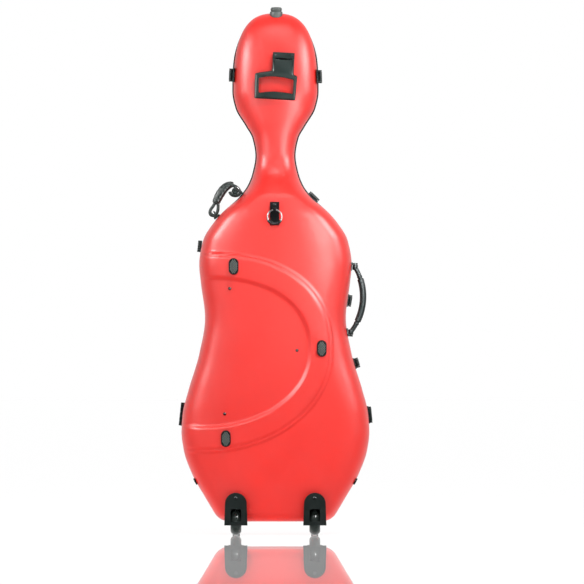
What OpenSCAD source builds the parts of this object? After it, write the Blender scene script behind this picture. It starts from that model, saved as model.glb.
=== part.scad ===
// Wheeled hard-shell cello case, closed and standing upright.
// +Z is up, the back shell (with the wheels) faces -Y and the lid faces +Y.
// The origin is on the floor, under the middle of the case.

/* [Shell outline] */
// Height of the crown of the shells above the floor
crown_z = 1353; // [1340:1:1366]
// Height of the shells' flat bottom above the floor
bottom_z = 35; // [33:1:38]
// Height where the head is widest
head_z = 1150; // [1145:1:1155]
// Width across the lower bouts
lower_bout_w = 488; // [480:1:492]
// Width across the waist
waist_w = 366; // [360:1:372]
// Width across the upper bouts
upper_bout_w = 396; // [388:1:400]
// Width of the neck
neck_w = 98; // [94:1:104]
// Width of the head
head_w = 218; // [212:1:222]

/* [Shell depth] */
// Depth of the back shell behind the seam, over the body
back_depth = 142; // [138:1:146]
// Depth of the lid in front of the seam, over the body
lid_depth = 145; // [140:1:150]
// Depth of each shell at the neck
neck_depth = 66; // [60:1:72]
// Depth of each shell at the head
head_depth = 85; // [80:1:90]
// Wall thickness of the shells
wall = 4; // [3:0.5:5]
// Radius of the rounded edge around the flat bottom
edge_r = 26; // [20:1:30]
// Height of the C-shaped band that stiffens the back
band_h = 8; // [4:1:8]

/* [Rims] */
// Depth of each shell's rim along the seam
rim_y = 7.5; // [6:0.5:8]
// Thickness of the gasket in the seam
gasket_y = 1.3; // [0.8:0.1:1.4]
// Width of the rims, measured inwards from the outline
rim_w = 7; // [6:0.5:9]

/* [Wheels] */
// Radius of the wheels
wheel_r = 35; // [34:0.5:35]
// Width of a wheel
wheel_w = 28; // [24:1:28]
// Distance of each wheel from the middle of the case
wheel_x = 102; // [98:1:104]
// Distance of the wheel axle behind the seam
wheel_y = 120; // [118:1:121]
// Radius of the wheel axle
axle_r = 4; // [3:0.5:5]
// Width of the front feet, which stand in front of the wheels
foot_w = 18; // [14:1:24]

/* [Handles] */
// Length between the ends of the side handle
side_handle_l = 168; // [160:1:172]
// Height of the middle of the side handle
side_handle_z = 609; // [605:1:613]
// How far the side handle arches out
side_handle_sag = 26; // [24:1:28]
// Length between the ends of the shoulder handle
shoulder_handle_l = 80; // [76:1:82]
// Height of the middle of the shoulder handle
shoulder_handle_z = 860; // [858:1:862]
// How far the shoulder handle arches out
shoulder_handle_sag = 29; // [26:1:30]
// Height of the head handle's hinge
head_handle_z = 1228.6; // [1226:0.2:1231]

/* [Hinges and latches] */
// Radius of the hinge knuckles
knuckle_r = 3; // [2.8:0.1:3.2]
// Radius of the hinge and latch pins
pin_r = 1.5; // [1.2:0.1:1.6]
// Length of the lower lid hinge
hinge_low_l = 60; // [50:1:60]
// Length of the upper lid hinge
hinge_high_l = 30; // [26:1:60]
// Distance of the latch pivots behind the seam
latch_y = 32; // [30:1:34]
// Radial running clearance of the pins and axles
run_gap = 0.05; // [0.02:0.01:0.1]

/* [Padding] */
// Thickness of the plush lining
lining = 5; // [4:0.5:6]
// Thickness of the bout cushions
cushion = 17; // [12:1:20]

/* [Hidden] */
$fn = 48;

// The seam lies a little in front of the origin, so that the case is centred in depth.
housing_y = 162;
seam_y = (housing_y - lid_depth) / 2;

// Outline of the case below the middle of the head: height and half width.
outline = [
  [62, 162], [94, 181], [156, 216], [218, 238], [265, lower_bout_w / 2], [312, 241], [374, 226],
  [468, 198], [562, waist_w / 2], [655, 194], [700, upper_bout_w / 2], [762, 188], [811, 159],
  [842, 131], [874, 92], [905, 69], [936, 57], [983, neck_w / 2], [1030, 57], [1061, 74], [1108, 101],
  [head_z, head_w / 2]
];
// Depth of each shell from the seam, along the middle: height and depth.
back_profile = [
  [35, back_depth - 6], [120, back_depth], [820, back_depth], [872, 130], [905, 106], [930, 84],
  [956, 70], [983, neck_depth - 2], [1030, neck_depth], [1080, 75], [head_z, head_depth]
];
lid_profile = [
  [35, lid_depth - 18], [140, lid_depth - 4], [420, lid_depth], [800, lid_depth - 4], [868, 128],
  [905, 104], [940, 80], [983, neck_depth + 4], [1040, neck_depth + 5], [head_z, head_depth + 3]
];
crown_power = 2.7;
depth_power = 2.4;
side_r = 20;

// A smooth curve through knots [position, value] that never swings past them, level at its last.
function rise(k, i) = (k[i + 1][1] - k[i][1]) / (k[i + 1][0] - k[i][0]);
function run(k, i) = k[i + 1][0] - k[i][0];
function knot_slope(k, i) =
  i == 0 ? rise(k, 0)
  : i == len(k) - 1 || rise(k, i - 1) * rise(k, i) <= 0 ? 0
  : let (a = run(k, i - 1), b = run(k, i))
    3 * (a + b) / ((a + 2 * b) / rise(k, i - 1) + (2 * a + b) / rise(k, i));
function knot_before(k, z, i = 0) = i >= len(k) - 2 || z < k[i + 1][0] ? i : knot_before(k, z, i + 1);
function curve(k, z) =
  let (i = knot_before(k, z), h = run(k, i), t = (z - k[i][0]) / h)
  (2 * t + 1) * (1 - t) * (1 - t) * k[i][1] + t * (1 - t) * (1 - t) * h * knot_slope(k, i)
  + t * t * (3 - 2 * t) * k[i + 1][1] - t * t * (1 - t) * h * knot_slope(k, i + 1);
function slope(k, z) = (curve(k, z + 1) - curve(k, z - 1)) / 2;
function smooth(t) = let (c = min(max(t, 0), 1)) c * c * (3 - 2 * c);
function rounded(h, r) = let (g = r - max(h, 0)) g <= 0 ? 0 : r - sqrt(r * r - g * g);
function crowned(a, b, p, h) = a * pow(max(1 - pow(h / b, p), 0), 1 / p);

// Half width and depth of the shell at height z, for a skin t inside the outer one.
function half_width(z, t = 0) =
  z > head_z ? crowned(head_w / 2 - t, crown_z - head_z - t, crown_power, z - head_z)
  : curve(outline, z) - t * sqrt(1 + pow(slope(outline, z), 2)) - rounded(z - bottom_z - t, side_r - t);
function depth(profile, z, t = 0) =
  let (top = profile[len(profile) - 1][1])
  z > head_z ? crowned(top - t, crown_z - head_z - t, depth_power, z - head_z)
  : curve(profile, z) - t * sqrt(1 + pow(slope(profile, z), 2)) - rounded(z - bottom_z - t, edge_r - t);
// The body is boxy in section, and the neck and head are nearly elliptical.
function squareness(z) = 2.7 + 3.3 * smooth((950 - z) / 110);

// The raised C-shaped band: part of an oval ring that is centred near the left edge.
band_x = -183;
band_z = 473;
function oval(x, z, a, b, p) = pow(pow(abs(x - band_x) / a, p) + pow(abs(z - band_z) / b, p), 1 / p);
function band(x, z) =
  let (p = z > band_z ? 2.4 : 2)
  band_h * smooth((1 - oval(x, z, 335, 262, p)) * 19) * smooth((oval(x, z, 265, 187, p) - 1) * 14);

// Heights of the rows of points up a skin that lies t inside the outer one.
bottom_rows = [0, 25, 50, 70, 90];
first_row_z = 92;
middle_rows = 38;
crown_rows = [15, 30, 45, 60, 75, 84];
rows = len(bottom_rows) + middle_rows + len(crown_rows);
function row_z(i, t) =
  i < len(bottom_rows) ? bottom_z + t + (edge_r - t) * (1 - cos(bottom_rows[i]))
  : i < len(bottom_rows) + middle_rows
    ? first_row_z + (head_z - first_row_z) * (i - len(bottom_rows)) / (middle_rows - 1)
  : head_z + (crown_z - head_z - t) * pow(sin(crown_rows[i - len(bottom_rows) - middle_rows]), 0.74);
row_list = [for (i = [0:rows - 1]) i];

// One arch of points across a shell at height z. The angles crowd together at the two corners.
function arch_angle(s) = 180 * s + 8 * sin(720 * s);
function arch(profile, side, z, t, face, n, from, to) =
  let (w = half_width(z, t), d = depth(profile, z, t), p = squareness(z))
  [for (j = [0:n])
    let (
      a = arch_angle(from + (to - from) * j / n), c = cos(a), s = sin(a),
      q = pow(pow(abs(c), p) + pow(s, p), 1 / p), x = w * c / q,
      extra = side < 0 && t == 0 ? band(x, z) : 0
    )
    [x, side * (face + (d + extra - face) * s / q), z]];

// A closed solid between two skins, t1 and t2 inside the outer one, built from rows of arches.
module skin_solid(profile, side, t1, t2, face, n, outer_z, inner_z, from = 0, to = 1) {
  m = len(outer_z);
  outer = [for (i = [0:m - 1]) each arch(profile, side, outer_z[i], t1, face, n, from, to)];
  inner = [for (i = [0:m - 1]) each arch(profile, side, inner_z[i], t2, face, n, from, to)];
  k = len(outer);
  w = n + 1;
  skins = [for (i = [0:m - 2]) for (j = [0:n - 1])
    let (a = i * w + j, b = a + 1, c = a + w, d = c + 1)
    each [[a, c, d], [a, d, b], [k + a, k + d, k + c], [k + a, k + b, k + d]]];
  sides = [for (i = [0:m - 2])
    let (a = i * w, c = a + w, b = a + n, d = c + n)
    each [[a, k + a, k + c], [a, k + c, c], [b, k + d, k + b], [b, d, k + d]]];
  lower = from > 0 || to < 1 || t1 > wall + lining
    ? [for (j = [0:n - 1]) each [[j, j + 1, k + j + 1], [j, k + j + 1, k + j]]]
    : [[for (j = [0:n]) j], [for (j = [n:-1:0]) k + j], [0, k + n, k], [0, n, k + n]];
  e = (m - 1) * w;
  upper = from > 0 || to < 1 || t1 > wall + lining
    ? [for (j = [0:n - 1]) each [[e + j, k + e + j + 1, e + j + 1], [e + j, k + e + j, k + e + j + 1]]]
    : [[for (j = [n:-1:0]) e + j], [for (j = [0:n]) k + e + j], [e, k + e, k + e + n], [e, k + e + n, e + n]];
  faces = concat(skins, sides, lower, upper);
  turned = side < 0 ? faces : [for (f = faces) [for (j = [len(f) - 1:-1:0]) f[j]]];
  polyhedron(concat(outer, inner), turned);
}

// A whole open half shell between two skins.
module half_shell(profile, side, t1, t2, face, n) {
  skin_solid(profile, side, t1, t2, face, n,
    [for (i = row_list) row_z(i, t1)], [for (i = row_list) row_z(i, t2)]);
}

// A pad that lies on the inside of a shell between two heights and two angles.
module wall_pad(profile, side, t1, t2, z1, z2, from, to, m = 8, n = 6) {
  zs = [for (i = [0:m]) z1 + (z2 - z1) * i / m];
  skin_solid(profile, side, t1, t2, rim_y + 3, n, zs, zs, from, to);
}

module at_seam() {
  translate([0, seam_y, 0]) children();
}

// A ring in the seam plane, from y1 to y2, that follows the outline.
function rim_proud(z) = 3 * smooth((z - 835) / 50) * smooth((1300 - z) / 80) - 0.5;
function outline_point(i, t) = let (z = row_z(i, t)) [half_width(z, t), z];
function outline_loop(ts) = concat(
  [for (i = row_list) outline_point(i, ts[i])],
  [for (i = [rows - 1:-1:0]) let (p = outline_point(i, ts[i])) [-p[0], p[1]]]);
module seam_ring(y1, y2, proud, inset) {
  outer = outline_loop([for (i = row_list) -rim_proud(row_z(i, 0)) - proud]);
  inner = outline_loop([for (i = row_list) inset]);
  c = len(outer);
  translate([0, y2, 0]) rotate([90, 0, 0]) linear_extrude(y2 - y1)
    polygon(concat(outer, inner), [[for (i = [0:c - 1]) i], [for (i = [0:c - 1]) c + i]]);
}

// Local frame on the side wall at height z: X outwards, Z up along the wall.
module on_wall(z, side) {
  lean = atan(slope(outline, z));
  mirror([side < 0 ? 1 : 0, 0, 0])
    translate([half_width(z), 0, z]) rotate([0, z > head_z ? crown_lean(z) : lean, 0]) children();
}
function crown_lean(z) = atan((half_width(z + 1) - half_width(z - 1)) / 2);

// ---- Shells, rims and lining ----

// Hollow room for one wheel and its housing.
module wheel_room(gap) {
  for (x = [-wheel_x, wheel_x])
    translate([x, -wheel_y, wheel_r]) rotate([0, 90, 0])
      cylinder(r = wheel_r + 6 + gap, h = wheel_w + 12 + 2 * gap, center = true, $fn = 40);
}

module back_shell() {
  color([0.86, 0.16, 0.15]) at_seam()
    resize([0, 0, 0]) difference() {
      half_shell(back_profile, -1, 0, wall, gasket_y + 0.1 + rim_y, 18);
      wheel_room(0.4);
    }
}

module lid_shell() {
  color([0.86, 0.16, 0.15]) at_seam()
    half_shell(lid_profile, 1, 0, wall, 0.2 + rim_y, 18);
}

module back_rim() {
  color([0.07, 0.07, 0.07]) at_seam()
    seam_ring(-gasket_y - 0.1 - rim_y, -gasket_y - 0.1, 0, rim_w);
}

module rim_gasket() {
  color([0.12, 0.12, 0.12]) at_seam()
    seam_ring(-gasket_y - 0.1, -0.1, -1, rim_w - 1.5);
}

module lid_rim() {
  color([0.07, 0.07, 0.07]) at_seam()
    seam_ring(0.2, 0.2 + rim_y, 0, rim_w);
}

module back_lining() {
  color([0.13, 0.13, 0.15]) at_seam()
    resize([0, 0, 0]) difference() {
      half_shell(back_profile, -1, wall + 1, wall + lining, rim_y + 1.8, 12);
      wheel_room(1.5);
    }
}

module lid_lining() {
  color([0.13, 0.13, 0.15]) at_seam()
    half_shell(lid_profile, 1, wall + 1, wall + lining, rim_y + 0.6, 12);
}

// ---- Bumper, pads and plugs ----

module crown_bumper() {
  color([0.22, 0.24, 0.23]) at_seam()
    translate([2, -22, crown_z - 12]) rotate_extrude()
      polygon([[0, 0], [14, 0], [16.5, 2], [16.5, 16], [15.4, 18], [14.4, 23],
        for (a = [0:15:90]) [9 + 5 * cos(a), 23 + 5 * sin(a)], [0, 28]]);
}

// Middles of the three oval pads and of the three plugs on the back.
pad_places = [[-108, 695], [120, 483], [-128, 250]];
plug_places = [[-118, 638], [56, 478], [-131, 314]];

module stadium(w, h) {
  for (z = [w - h, h - w]) translate([0, z / 2]) circle(w / 2);
  square([w, h - w], center = true);
}

module back_pads() {
  color([0.09, 0.09, 0.09]) at_seam()
    for (p = pad_places) translate([p[0], -back_depth - band_h + 1.5, p[1]]) rotate([90, 0, 0])
      difference() {
        linear_extrude(5.5) stadium(25, 43);
        translate([0, 0, 4.5]) linear_extrude(3) stadium(19, 37);
      }
}

module back_plugs() {
  color([0.06, 0.06, 0.06]) at_seam()
    for (p = plug_places) translate([p[0], -back_depth + 3, p[1]]) rotate([90, 0, 0])
      rotate_extrude() polygon([[0, 0], [4, 0], [4, 4], [3, 5.6], [1.5, 6.4], [0, 6.6]]);
}

// ---- Head handle ----

head_handle_y = -97;
head_handle_x = 21;
head_tilt = 3;
tab_w = 56;
ear_x = 15;
ear_w = 6;

module at_head_handle() {
  translate([head_handle_x, head_handle_y, head_handle_z]) rotate([0, head_tilt, 0]) children();
}
module across(r, w) {
  rotate([0, 90, 0]) cylinder(r = r, h = w, center = true);
}

// The base hides behind the loop's tab: only its top block shows above the groove.
module head_handle_base() {
  color([0.05, 0.09, 0.08]) at_seam() at_head_handle() difference() {
    union() {
      difference() {
        union() {
          translate([-tab_w / 2, 8, -9]) cube([tab_w, 9, 29.5]);
          translate([-tab_w / 2, -5, 0]) cube([tab_w, 18, 20.5]);
        }
        across(7.5, 2 * tab_w);
      }
      for (x = [-ear_x, ear_x]) translate([x, 0, 0]) {
        across(4, ear_w);
        translate([-ear_w / 2, 0, -4]) cube([ear_w, 12, 8]);
      }
    }
    across(2, tab_w + 2);
  }
}

module head_handle_pin() {
  color([0.6, 0.6, 0.6]) at_seam() at_head_handle() across(2, tab_w - 4);
}

// A wide tab that hangs from the pin and opens out into a hand loop.
module head_handle_loop() {
  color([0.05, 0.09, 0.08]) at_seam() at_head_handle() difference() {
    rotate([90, 0, 0]) translate([0, 0, -4]) linear_extrude(9) difference() {
      polygon([[-28, 4.8], [28, 4.8], [28, -35], [38, -39], [36, -102], [-70.5, -101.5], [-72, -37],
        [-60, -34], [-47, -31.5], [-28, -28]]);
      polygon([[29, -85.5], [6, -82.4], [-19, -81.6], [-42, -83.6], [-59.5, -87], [-61.5, -48.5],
        [-42, -44.2], [-21, -42.8], [4, -44.4], [28, -49]]);
    }
    across(2 + run_gap, 2 * tab_w);
    for (x = [-ear_x, ear_x]) translate([x, 0, 0]) {
      across(4.3, ear_w + 0.8);
      translate([-ear_w / 2 - 0.4, 0, -4.6]) cube([ear_w + 0.8, 12, 12]);
      translate([-ear_w / 2 - 0.4, -4.4, 0]) cube([ear_w + 0.8, 12.4, 8]);
    }
  }
}

module head_handle_screws() {
  color([0.3, 0.3, 0.3]) at_seam() at_head_handle()
    for (x = [-22, 22]) translate([x, -5, 14]) rotate([90, 0, 0])
      cylinder(r1 = 2.8, r2 = 2, h = 1);
}

// ---- Strap lug and ring ----

lug_z = 841.5;
ring_y = -back_depth - 13;
ring_r = 18.5;
ring_wire = 2;

module strap_lug() {
  color([0.06, 0.06, 0.06]) at_seam()
    difference() {
      union() {
        translate([-14, -back_depth - 5.5, 801]) cube([24, 9, 61]);
        translate([-6, ring_y - 6, lug_z - 5]) cube([8, 14, 11]);
      }
      translate([-2, ring_y, lug_z]) rotate([0, 90, 0]) cylinder(r = ring_wire + 1, h = 12, center = true);
    }
}

module strap_ring() {
  color([0.75, 0.75, 0.75]) at_seam()
    translate([-2, ring_y, lug_z - ring_r]) rotate([90, 0, 0])
      rotate_extrude() translate([ring_r, 0]) circle(ring_wire, $fn = 24);
}

module strap_ring_sleeve() {
  color([0.06, 0.06, 0.06]) at_seam()
    translate([-2, ring_y, lug_z - ring_r]) rotate([90, 0, 0]) rotate([0, 0, -140])
      rotate_extrude(angle = 100) translate([ring_r, 0]) difference() {
        circle(ring_wire + 1.6, $fn = 24);
        circle(ring_wire, $fn = 24);
      }
}

module strap_lug_screws() {
  color([0.4, 0.4, 0.4]) at_seam()
    for (p = [[-2, 855.5], [-9.5, 808], [5.5, 808]])
      translate([p[0], -back_depth - 5.5, p[1]]) rotate([90, 0, 0])
        cylinder(r1 = 3.6, r2 = 2.4, h = 1.8);
}

// ---- Carrying handles ----

// An arched bar in the local X-Z plane, between ends at z = -l/2 and z = l/2.
function arc_radius(l, sag) = (l * l / 4 + sag * sag) / (2 * sag);
module arched_bar(l, sag, half_angle) {
  r = arc_radius(l, sag);
  translate([sag - r, 0, 0]) rotate([90, 0, 0]) rotate([0, 0, -half_angle])
    rotate_extrude(angle = 2 * half_angle, $fn = 96) translate([r, 0]) children();
}
module handle_core(l, sag, core_r, knob_r, knob_h) {
  r = arc_radius(l, sag);
  difference() {
    union() {
      arched_bar(l, sag, asin(l / 2 / r)) circle(core_r, $fn = 24);
      for (z = [-l / 2, l / 2]) translate([0, 0, z]) cylinder(r = knob_r, h = knob_h, center = true);
    }
    for (s = [-1, 1]) translate([0, 0, s * (l / 2 + 2)])
      cylinder(r = 2 + run_gap, h = knob_h, center = true);
  }
}
module handle_brackets(l, knob_h, off, reach) {
  for (s = [-1, 1]) mirror([0, 0, s < 0 ? 1 : 0]) translate([0, 0, l / 2]) difference() {
    union() {
      translate([-off - 2, -9, knob_h / 2 - 1.5]) cube([off + 2, 18, 6]);
      translate([0, 0, knob_h / 2 + 0.5]) cylinder(r = 6, h = 4);
      translate([-off - 2, -9, -knob_h / 2 - 2]) cube([reach, 18, knob_h + 8]);
    }
    translate([0, 0, -knob_h / 2 - 3]) cylinder(r = 6 > off ? 6 : 7.6, h = knob_h + 3.5);
    translate([0, 0, -2]) cylinder(r = 2, h = 40);
  }
}
module handle_pins(l, knob_h) {
  for (s = [-1, 1]) mirror([0, 0, s < 0 ? 1 : 0])
    translate([0, 0, l / 2 + 3]) cylinder(r = 2, h = knob_h / 2 + 1.8);
}

handle_back = 60;
side_off = 9;
side_lean = atan((half_width(side_handle_z + 84) - half_width(side_handle_z - 84)) / 168);
module at_side_handle() {
  translate([(half_width(side_handle_z + 84) + half_width(side_handle_z - 84)) / 2 + side_off,
    -handle_back, side_handle_z]) rotate([0, side_lean, 0]) children();
}

module side_handle_core() {
  color([0.06, 0.08, 0.08]) at_seam() at_side_handle()
    handle_core(side_handle_l, side_handle_sag, 6, 7, 14);
}

module side_handle_grip() {
  color([0.07, 0.1, 0.1]) at_seam() at_side_handle()
    arched_bar(side_handle_l, side_handle_sag, 22) difference() {
      circle(8.5, $fn = 32);
      circle(6, $fn = 24);
    }
}

module side_handle_brackets() {
  color([0.05, 0.05, 0.05]) at_seam() at_side_handle()
    handle_brackets(side_handle_l, 14, side_off, 3.4);
}

module side_handle_pins() {
  color([0.6, 0.6, 0.6]) at_seam() at_side_handle() handle_pins(side_handle_l, 14);
}

shoulder_off = 13;
shoulder_lean = -52;
module at_shoulder_handle() {
  mirror([1, 0, 0]) translate([half_width(shoulder_handle_z) + 18, -handle_back, shoulder_handle_z])
    rotate([0, shoulder_lean, 0]) children();
}

module shoulder_handle_core() {
  color([0.05, 0.08, 0.07]) at_seam() at_shoulder_handle()
    handle_core(shoulder_handle_l, shoulder_handle_sag, 4, 5.5, 10);
}

module shoulder_handle_grip() {
  color([0.05, 0.08, 0.07]) at_seam() at_shoulder_handle()
    arched_bar(shoulder_handle_l, shoulder_handle_sag, 46) difference() {
      circle(10, $fn = 32);
      circle(4, $fn = 24);
    }
}

module shoulder_handle_brackets() {
  color([0.05, 0.05, 0.05]) at_seam() at_shoulder_handle()
    handle_brackets(shoulder_handle_l, 10, shoulder_off, 5);
}

module shoulder_handle_pins() {
  color([0.6, 0.6, 0.6]) at_seam() at_shoulder_handle() handle_pins(shoulder_handle_l, 10);
}

// ---- Wheels ----

module at_wheel(side) {
  translate([side * wheel_x, -wheel_y, wheel_r]) children();
}

module wheel_housing(side) {
  color([0.05, 0.08, 0.08]) at_seam()
    difference() {
      union() {
        intersection() {
          at_wheel(side) rotate([0, 90, 0])
            cylinder(r = wheel_r + 6, h = wheel_w + 12, center = true, $fn = 96);
          translate([side * wheel_x - 30, -housing_y + 4, 26]) cube([60, 100, 60]);
        }
        translate([side * wheel_x, -back_depth + 3.5, 0]) rotate([90, 0, 0])
          linear_extrude(housing_y - back_depth + 3.5) {
          translate([0, 82]) circle(28);
          polygon([[-30, 26], [30, 26], [28, 82], [-28, 82]]);
        }
      }
      at_wheel(side) rotate([0, 90, 0])
        cylinder(r = wheel_r + 3, h = wheel_w + 4, center = true, $fn = 96);
      translate([side * wheel_x - 13.5, -housing_y - 1, 36]) cube([27, 34, 32]);
      at_wheel(side) rotate([0, 90, 0]) cylinder(r = axle_r, h = 80, center = true);
    }
}

module wheel_tyre(side) {
  color([0.2, 0.25, 0.23]) at_seam() at_wheel(side) rotate([0, 90, 0]) rotate_extrude($fn = 96)
    polygon([[24, -wheel_w / 2], [27, -wheel_w / 2], [31, -wheel_w / 2 + 2], [33.6, -8],
      [wheel_r, -3.5], [wheel_r, 3.5], [33.6, 8], [31, wheel_w / 2 - 2], [27, wheel_w / 2],
      [24, wheel_w / 2]]);
}

module wheel_hub(side) {
  color([0.1, 0.1, 0.1]) at_seam() at_wheel(side) rotate([0, 90, 0]) difference() {
    rotate_extrude($fn = 96) polygon([[axle_r + run_gap, -14.5], [9, -14.5], [9, -4], [20, -4],
      [20, -13], [24, -13], [24, 13], [20, 13], [20, 4], [9, 4], [9, 14.5],
      [axle_r + run_gap, 14.5]]);
    for (a = [0:60:300]) rotate([0, 0, a]) translate([14.5, 0, 0])
      cylinder(r = 3.2, h = 20, center = true);
  }
}

module wheel_axles() {
  color([0.7, 0.7, 0.7]) at_seam() for (s = [-1, 1]) at_wheel(s)
    rotate([0, 90, 0]) cylinder(r = axle_r, h = wheel_w + 12, center = true);
}

module housing_screws() {
  color([0.3, 0.3, 0.3]) at_seam()
    for (s = [-1, 1]) translate([s * wheel_x, -housing_y, 96]) rotate([90, 0, 0])
      cylinder(r1 = 4.5, r2 = 3, h = 1.8);
}

// ---- Feet and anchors ----

module front_feet() {
  color([0.1, 0.1, 0.1]) at_seam() for (s = [-1, 1])
    translate([s * wheel_x, 0, 0]) rotate([0, 90, 0]) rotate([0, 0, 90]) translate([0, 0, -foot_w / 2])
      linear_extrude(foot_w) polygon([[-72, 8], [-66, 0], [88, 0], [96, 5], [98, 14], [92, 24],
        [70, 30], [6, 31], [-3, 33], [-12, bottom_z + 0.3], [-72, bottom_z + 0.3]]);
}

module strap_anchors() {
  color([0.06, 0.06, 0.06]) at_seam() for (s = [-1, 1]) on_wall(138, s)
    translate([0, -70, 0]) rotate([0, 90, 0]) translate([0, 0, -1.5])
      difference() {
        linear_extrude(4) polygon([for (a = [0:15:345]) [9 * cos(a), 13 * sin(a)]]);
        translate([0, 0, -1]) cylinder(r = 4, h = 6);
      }
}

// ---- Lid hinges ----

// The hinge line lies in the seam plane and touches both bouts on the left.
hinge_low = [-246, 309];
hinge_high = [-199, 751];
hinge_lean = atan((hinge_high[0] - hinge_low[0]) / (hinge_high[1] - hinge_low[1]));
// Height and length of each hinge.
hinges = [[312, hinge_low_l], [748, hinge_high_l]];
// Local frame on the hinge line: Z along it, X towards the case.
module on_hinge(z) {
  translate([hinge_low[0] + (z - hinge_low[1]) * tan(hinge_lean), 0, z])
    rotate([0, hinge_lean, 0]) children();
}
// Every second of a hinge's five knuckles, from the one numbered first.
module knuckles(first, count, long) {
  for (i = [0:count - 1]) translate([0, 0, -long / 2 + (first + 2 * i) * long / 5 + 0.2])
    children();
}
module hinge_leaf(side, first, count, long) {
  knuckle_l = long / 5 - 0.4;
  difference() {
    union() {
      translate([2, side > 0 ? 0.4 : -23, -long / 2]) cube([5.5, 22.6, long]);
      knuckles(first, count, long) {
        cylinder(r = knuckle_r, h = knuckle_l);
        translate([0, side > 0 ? 0.4 : -knuckle_r, 0]) cube([4, knuckle_r - 0.4, knuckle_l]);
      }
    }
    translate([-1, side > 0 ? 9 : -24, -long / 2 - 1]) cube([3.2, 15, long + 2]);
    knuckles(first == 0 ? 1 : 0, first == 0 ? 2 : 3, long) translate([0, 0, -0.4])
      cylinder(r = knuckle_r + 0.4, h = knuckle_l + 0.8);
    cylinder(r = first == 0 ? pin_r : pin_r + run_gap, h = 2 * long, center = true);
  }
}

module hinge_body_leaves() {
  color([0.08, 0.08, 0.08]) at_seam() for (h = hinges) on_hinge(h[0]) hinge_leaf(-1, 0, 3, h[1]);
}

module hinge_lid_leaves() {
  color([0.08, 0.08, 0.08]) at_seam() for (h = hinges) on_hinge(h[0]) hinge_leaf(1, 1, 2, h[1]);
}

module hinge_pins() {
  color([0.6, 0.6, 0.6]) at_seam() for (h = hinges) on_hinge(h[0])
    cylinder(r = pin_r, h = h[1], center = true);
}

// ---- Latches ----

// Each latch: height, side, width and height of its pivot above the wall.
head_left = [1192, -1, 34, 8];
head_right = [1188, 1, 34, 8];
shoulder_right = [871, 1, 32, 8];
waist_right = [607, 1, 30, 7];
flank_right = [443, 1, 26, 9];
bout_right = [310, 1, 42, 5];
latches = [head_left, head_right, shoulder_right, waist_right, flank_right, bout_right];

module on_latch(l) {
  on_wall(l[0], l[1]) children();
}

module latch_bases() {
  color([0.05, 0.06, 0.06]) at_seam() for (l = latches) on_latch(l) difference() {
    union() {
      translate([-1.5, -latch_y - 13, -l[2] / 2 - 1.5]) cube([4, 32, l[2] + 3]);
      for (s = [-1, 1]) translate([0, -latch_y, s * (l[2] / 2 - 2)]) {
        translate([l[3], 0, 0]) cylinder(r = 4, h = 4, center = true);
        translate([-1, -4, -2]) cube([l[3] + 1, 8, 4]);
      }
    }
    translate([l[3], -latch_y, 0]) cylinder(r = 4.5, h = l[2] - 8, center = true);
    translate([l[3] - 2, -latch_y, -l[2] / 2 + 4]) cube([20, 40, l[2] - 8]);
    translate([l[3], -latch_y, 0]) cylinder(r = pin_r, h = 60, center = true);
  }
}

module latch_pins() {
  color([0.6, 0.6, 0.6]) at_seam() for (l = latches) on_latch(l)
    translate([l[3], -latch_y, 0]) cylinder(r = pin_r, h = l[2], center = true);
}

module latch_keepers() {
  color([0.05, 0.06, 0.06]) at_seam() for (l = latches) on_latch(l)
    translate([0, 0, -l[2] / 2 + 3]) linear_extrude(l[2] - 6)
      polygon([[-1.5, 0.6], [1.5, 0.6], [l[3] - 2.2, 0.9], [l[3] - 1.4, 2.2], [l[3] - 2.2, 4],
        [1.5, 12], [1.5, 22], [-1.5, 22]]);
}

module latch_lever(l) {
  color([0.06, 0.07, 0.07]) at_seam() on_latch(l) difference() {
    translate([0, 0, -l[2] / 2 + 4.4]) linear_extrude(l[2] - 8.8) {
      translate([l[3], -latch_y]) circle(r = 4, $fn = 32);
      polygon([[l[3] - 0.8, -latch_y], [l[3] + 4, -latch_y], [l[3] + 4.4, -22], [l[3] + 4.2, -9],
        [l[3] + 4, -1], [l[3] + 4.6, 6], [l[3] + 4.6, 7.4], [l[3] + 2.6, 7.4],
        [l[3] + 0.9, -0.2], [l[3] - 0.4, -14]]);
    }
    translate([l[3], -latch_y, 0]) cylinder(r = pin_r + run_gap, h = 60, center = true);
  }
}

// ---- Padding and fittings inside ----

pad_face = wall + lining + 2;

module lower_bout_cushions() {
  color([0.2, 0.2, 0.22]) at_seam() for (r = [[0.03, 0.36], [0.64, 0.97]])
    wall_pad(back_profile, -1, pad_face, pad_face + cushion, 175, 330, r[0], r[1]);
}

module upper_bout_cushions() {
  color([0.2, 0.2, 0.22]) at_seam() for (r = [[0.03, 0.3], [0.7, 0.97]])
    wall_pad(back_profile, -1, pad_face, pad_face + cushion, 640, 755, r[0], r[1]);
}

module end_cushion() {
  color([0.2, 0.2, 0.22]) at_seam() difference() {
    translate([-65, -112, 46]) cube([130, 96, 32]);
    translate([0, -50, 40]) cylinder(r = 13, h = 60);
  }
}

module neck_cradle() {
  color([0.2, 0.2, 0.22]) at_seam()
    wall_pad(back_profile, -1, pad_face, pad_face + 13, 960, 1012, 0.06, 0.94, 5, 10);
}

module neck_strap() {
  color([0.1, 0.1, 0.1]) at_seam() translate([0, -12, 974]) rotate_extrude(angle = 180)
    translate([30, 0]) square([2.2, 25]);
}

module scroll_cushion() {
  color([0.2, 0.2, 0.22]) at_seam()
    wall_pad(back_profile, -1, pad_face, pad_face + 14, 1120, 1275, 0.2, 0.8, 8, 8);
}

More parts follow.
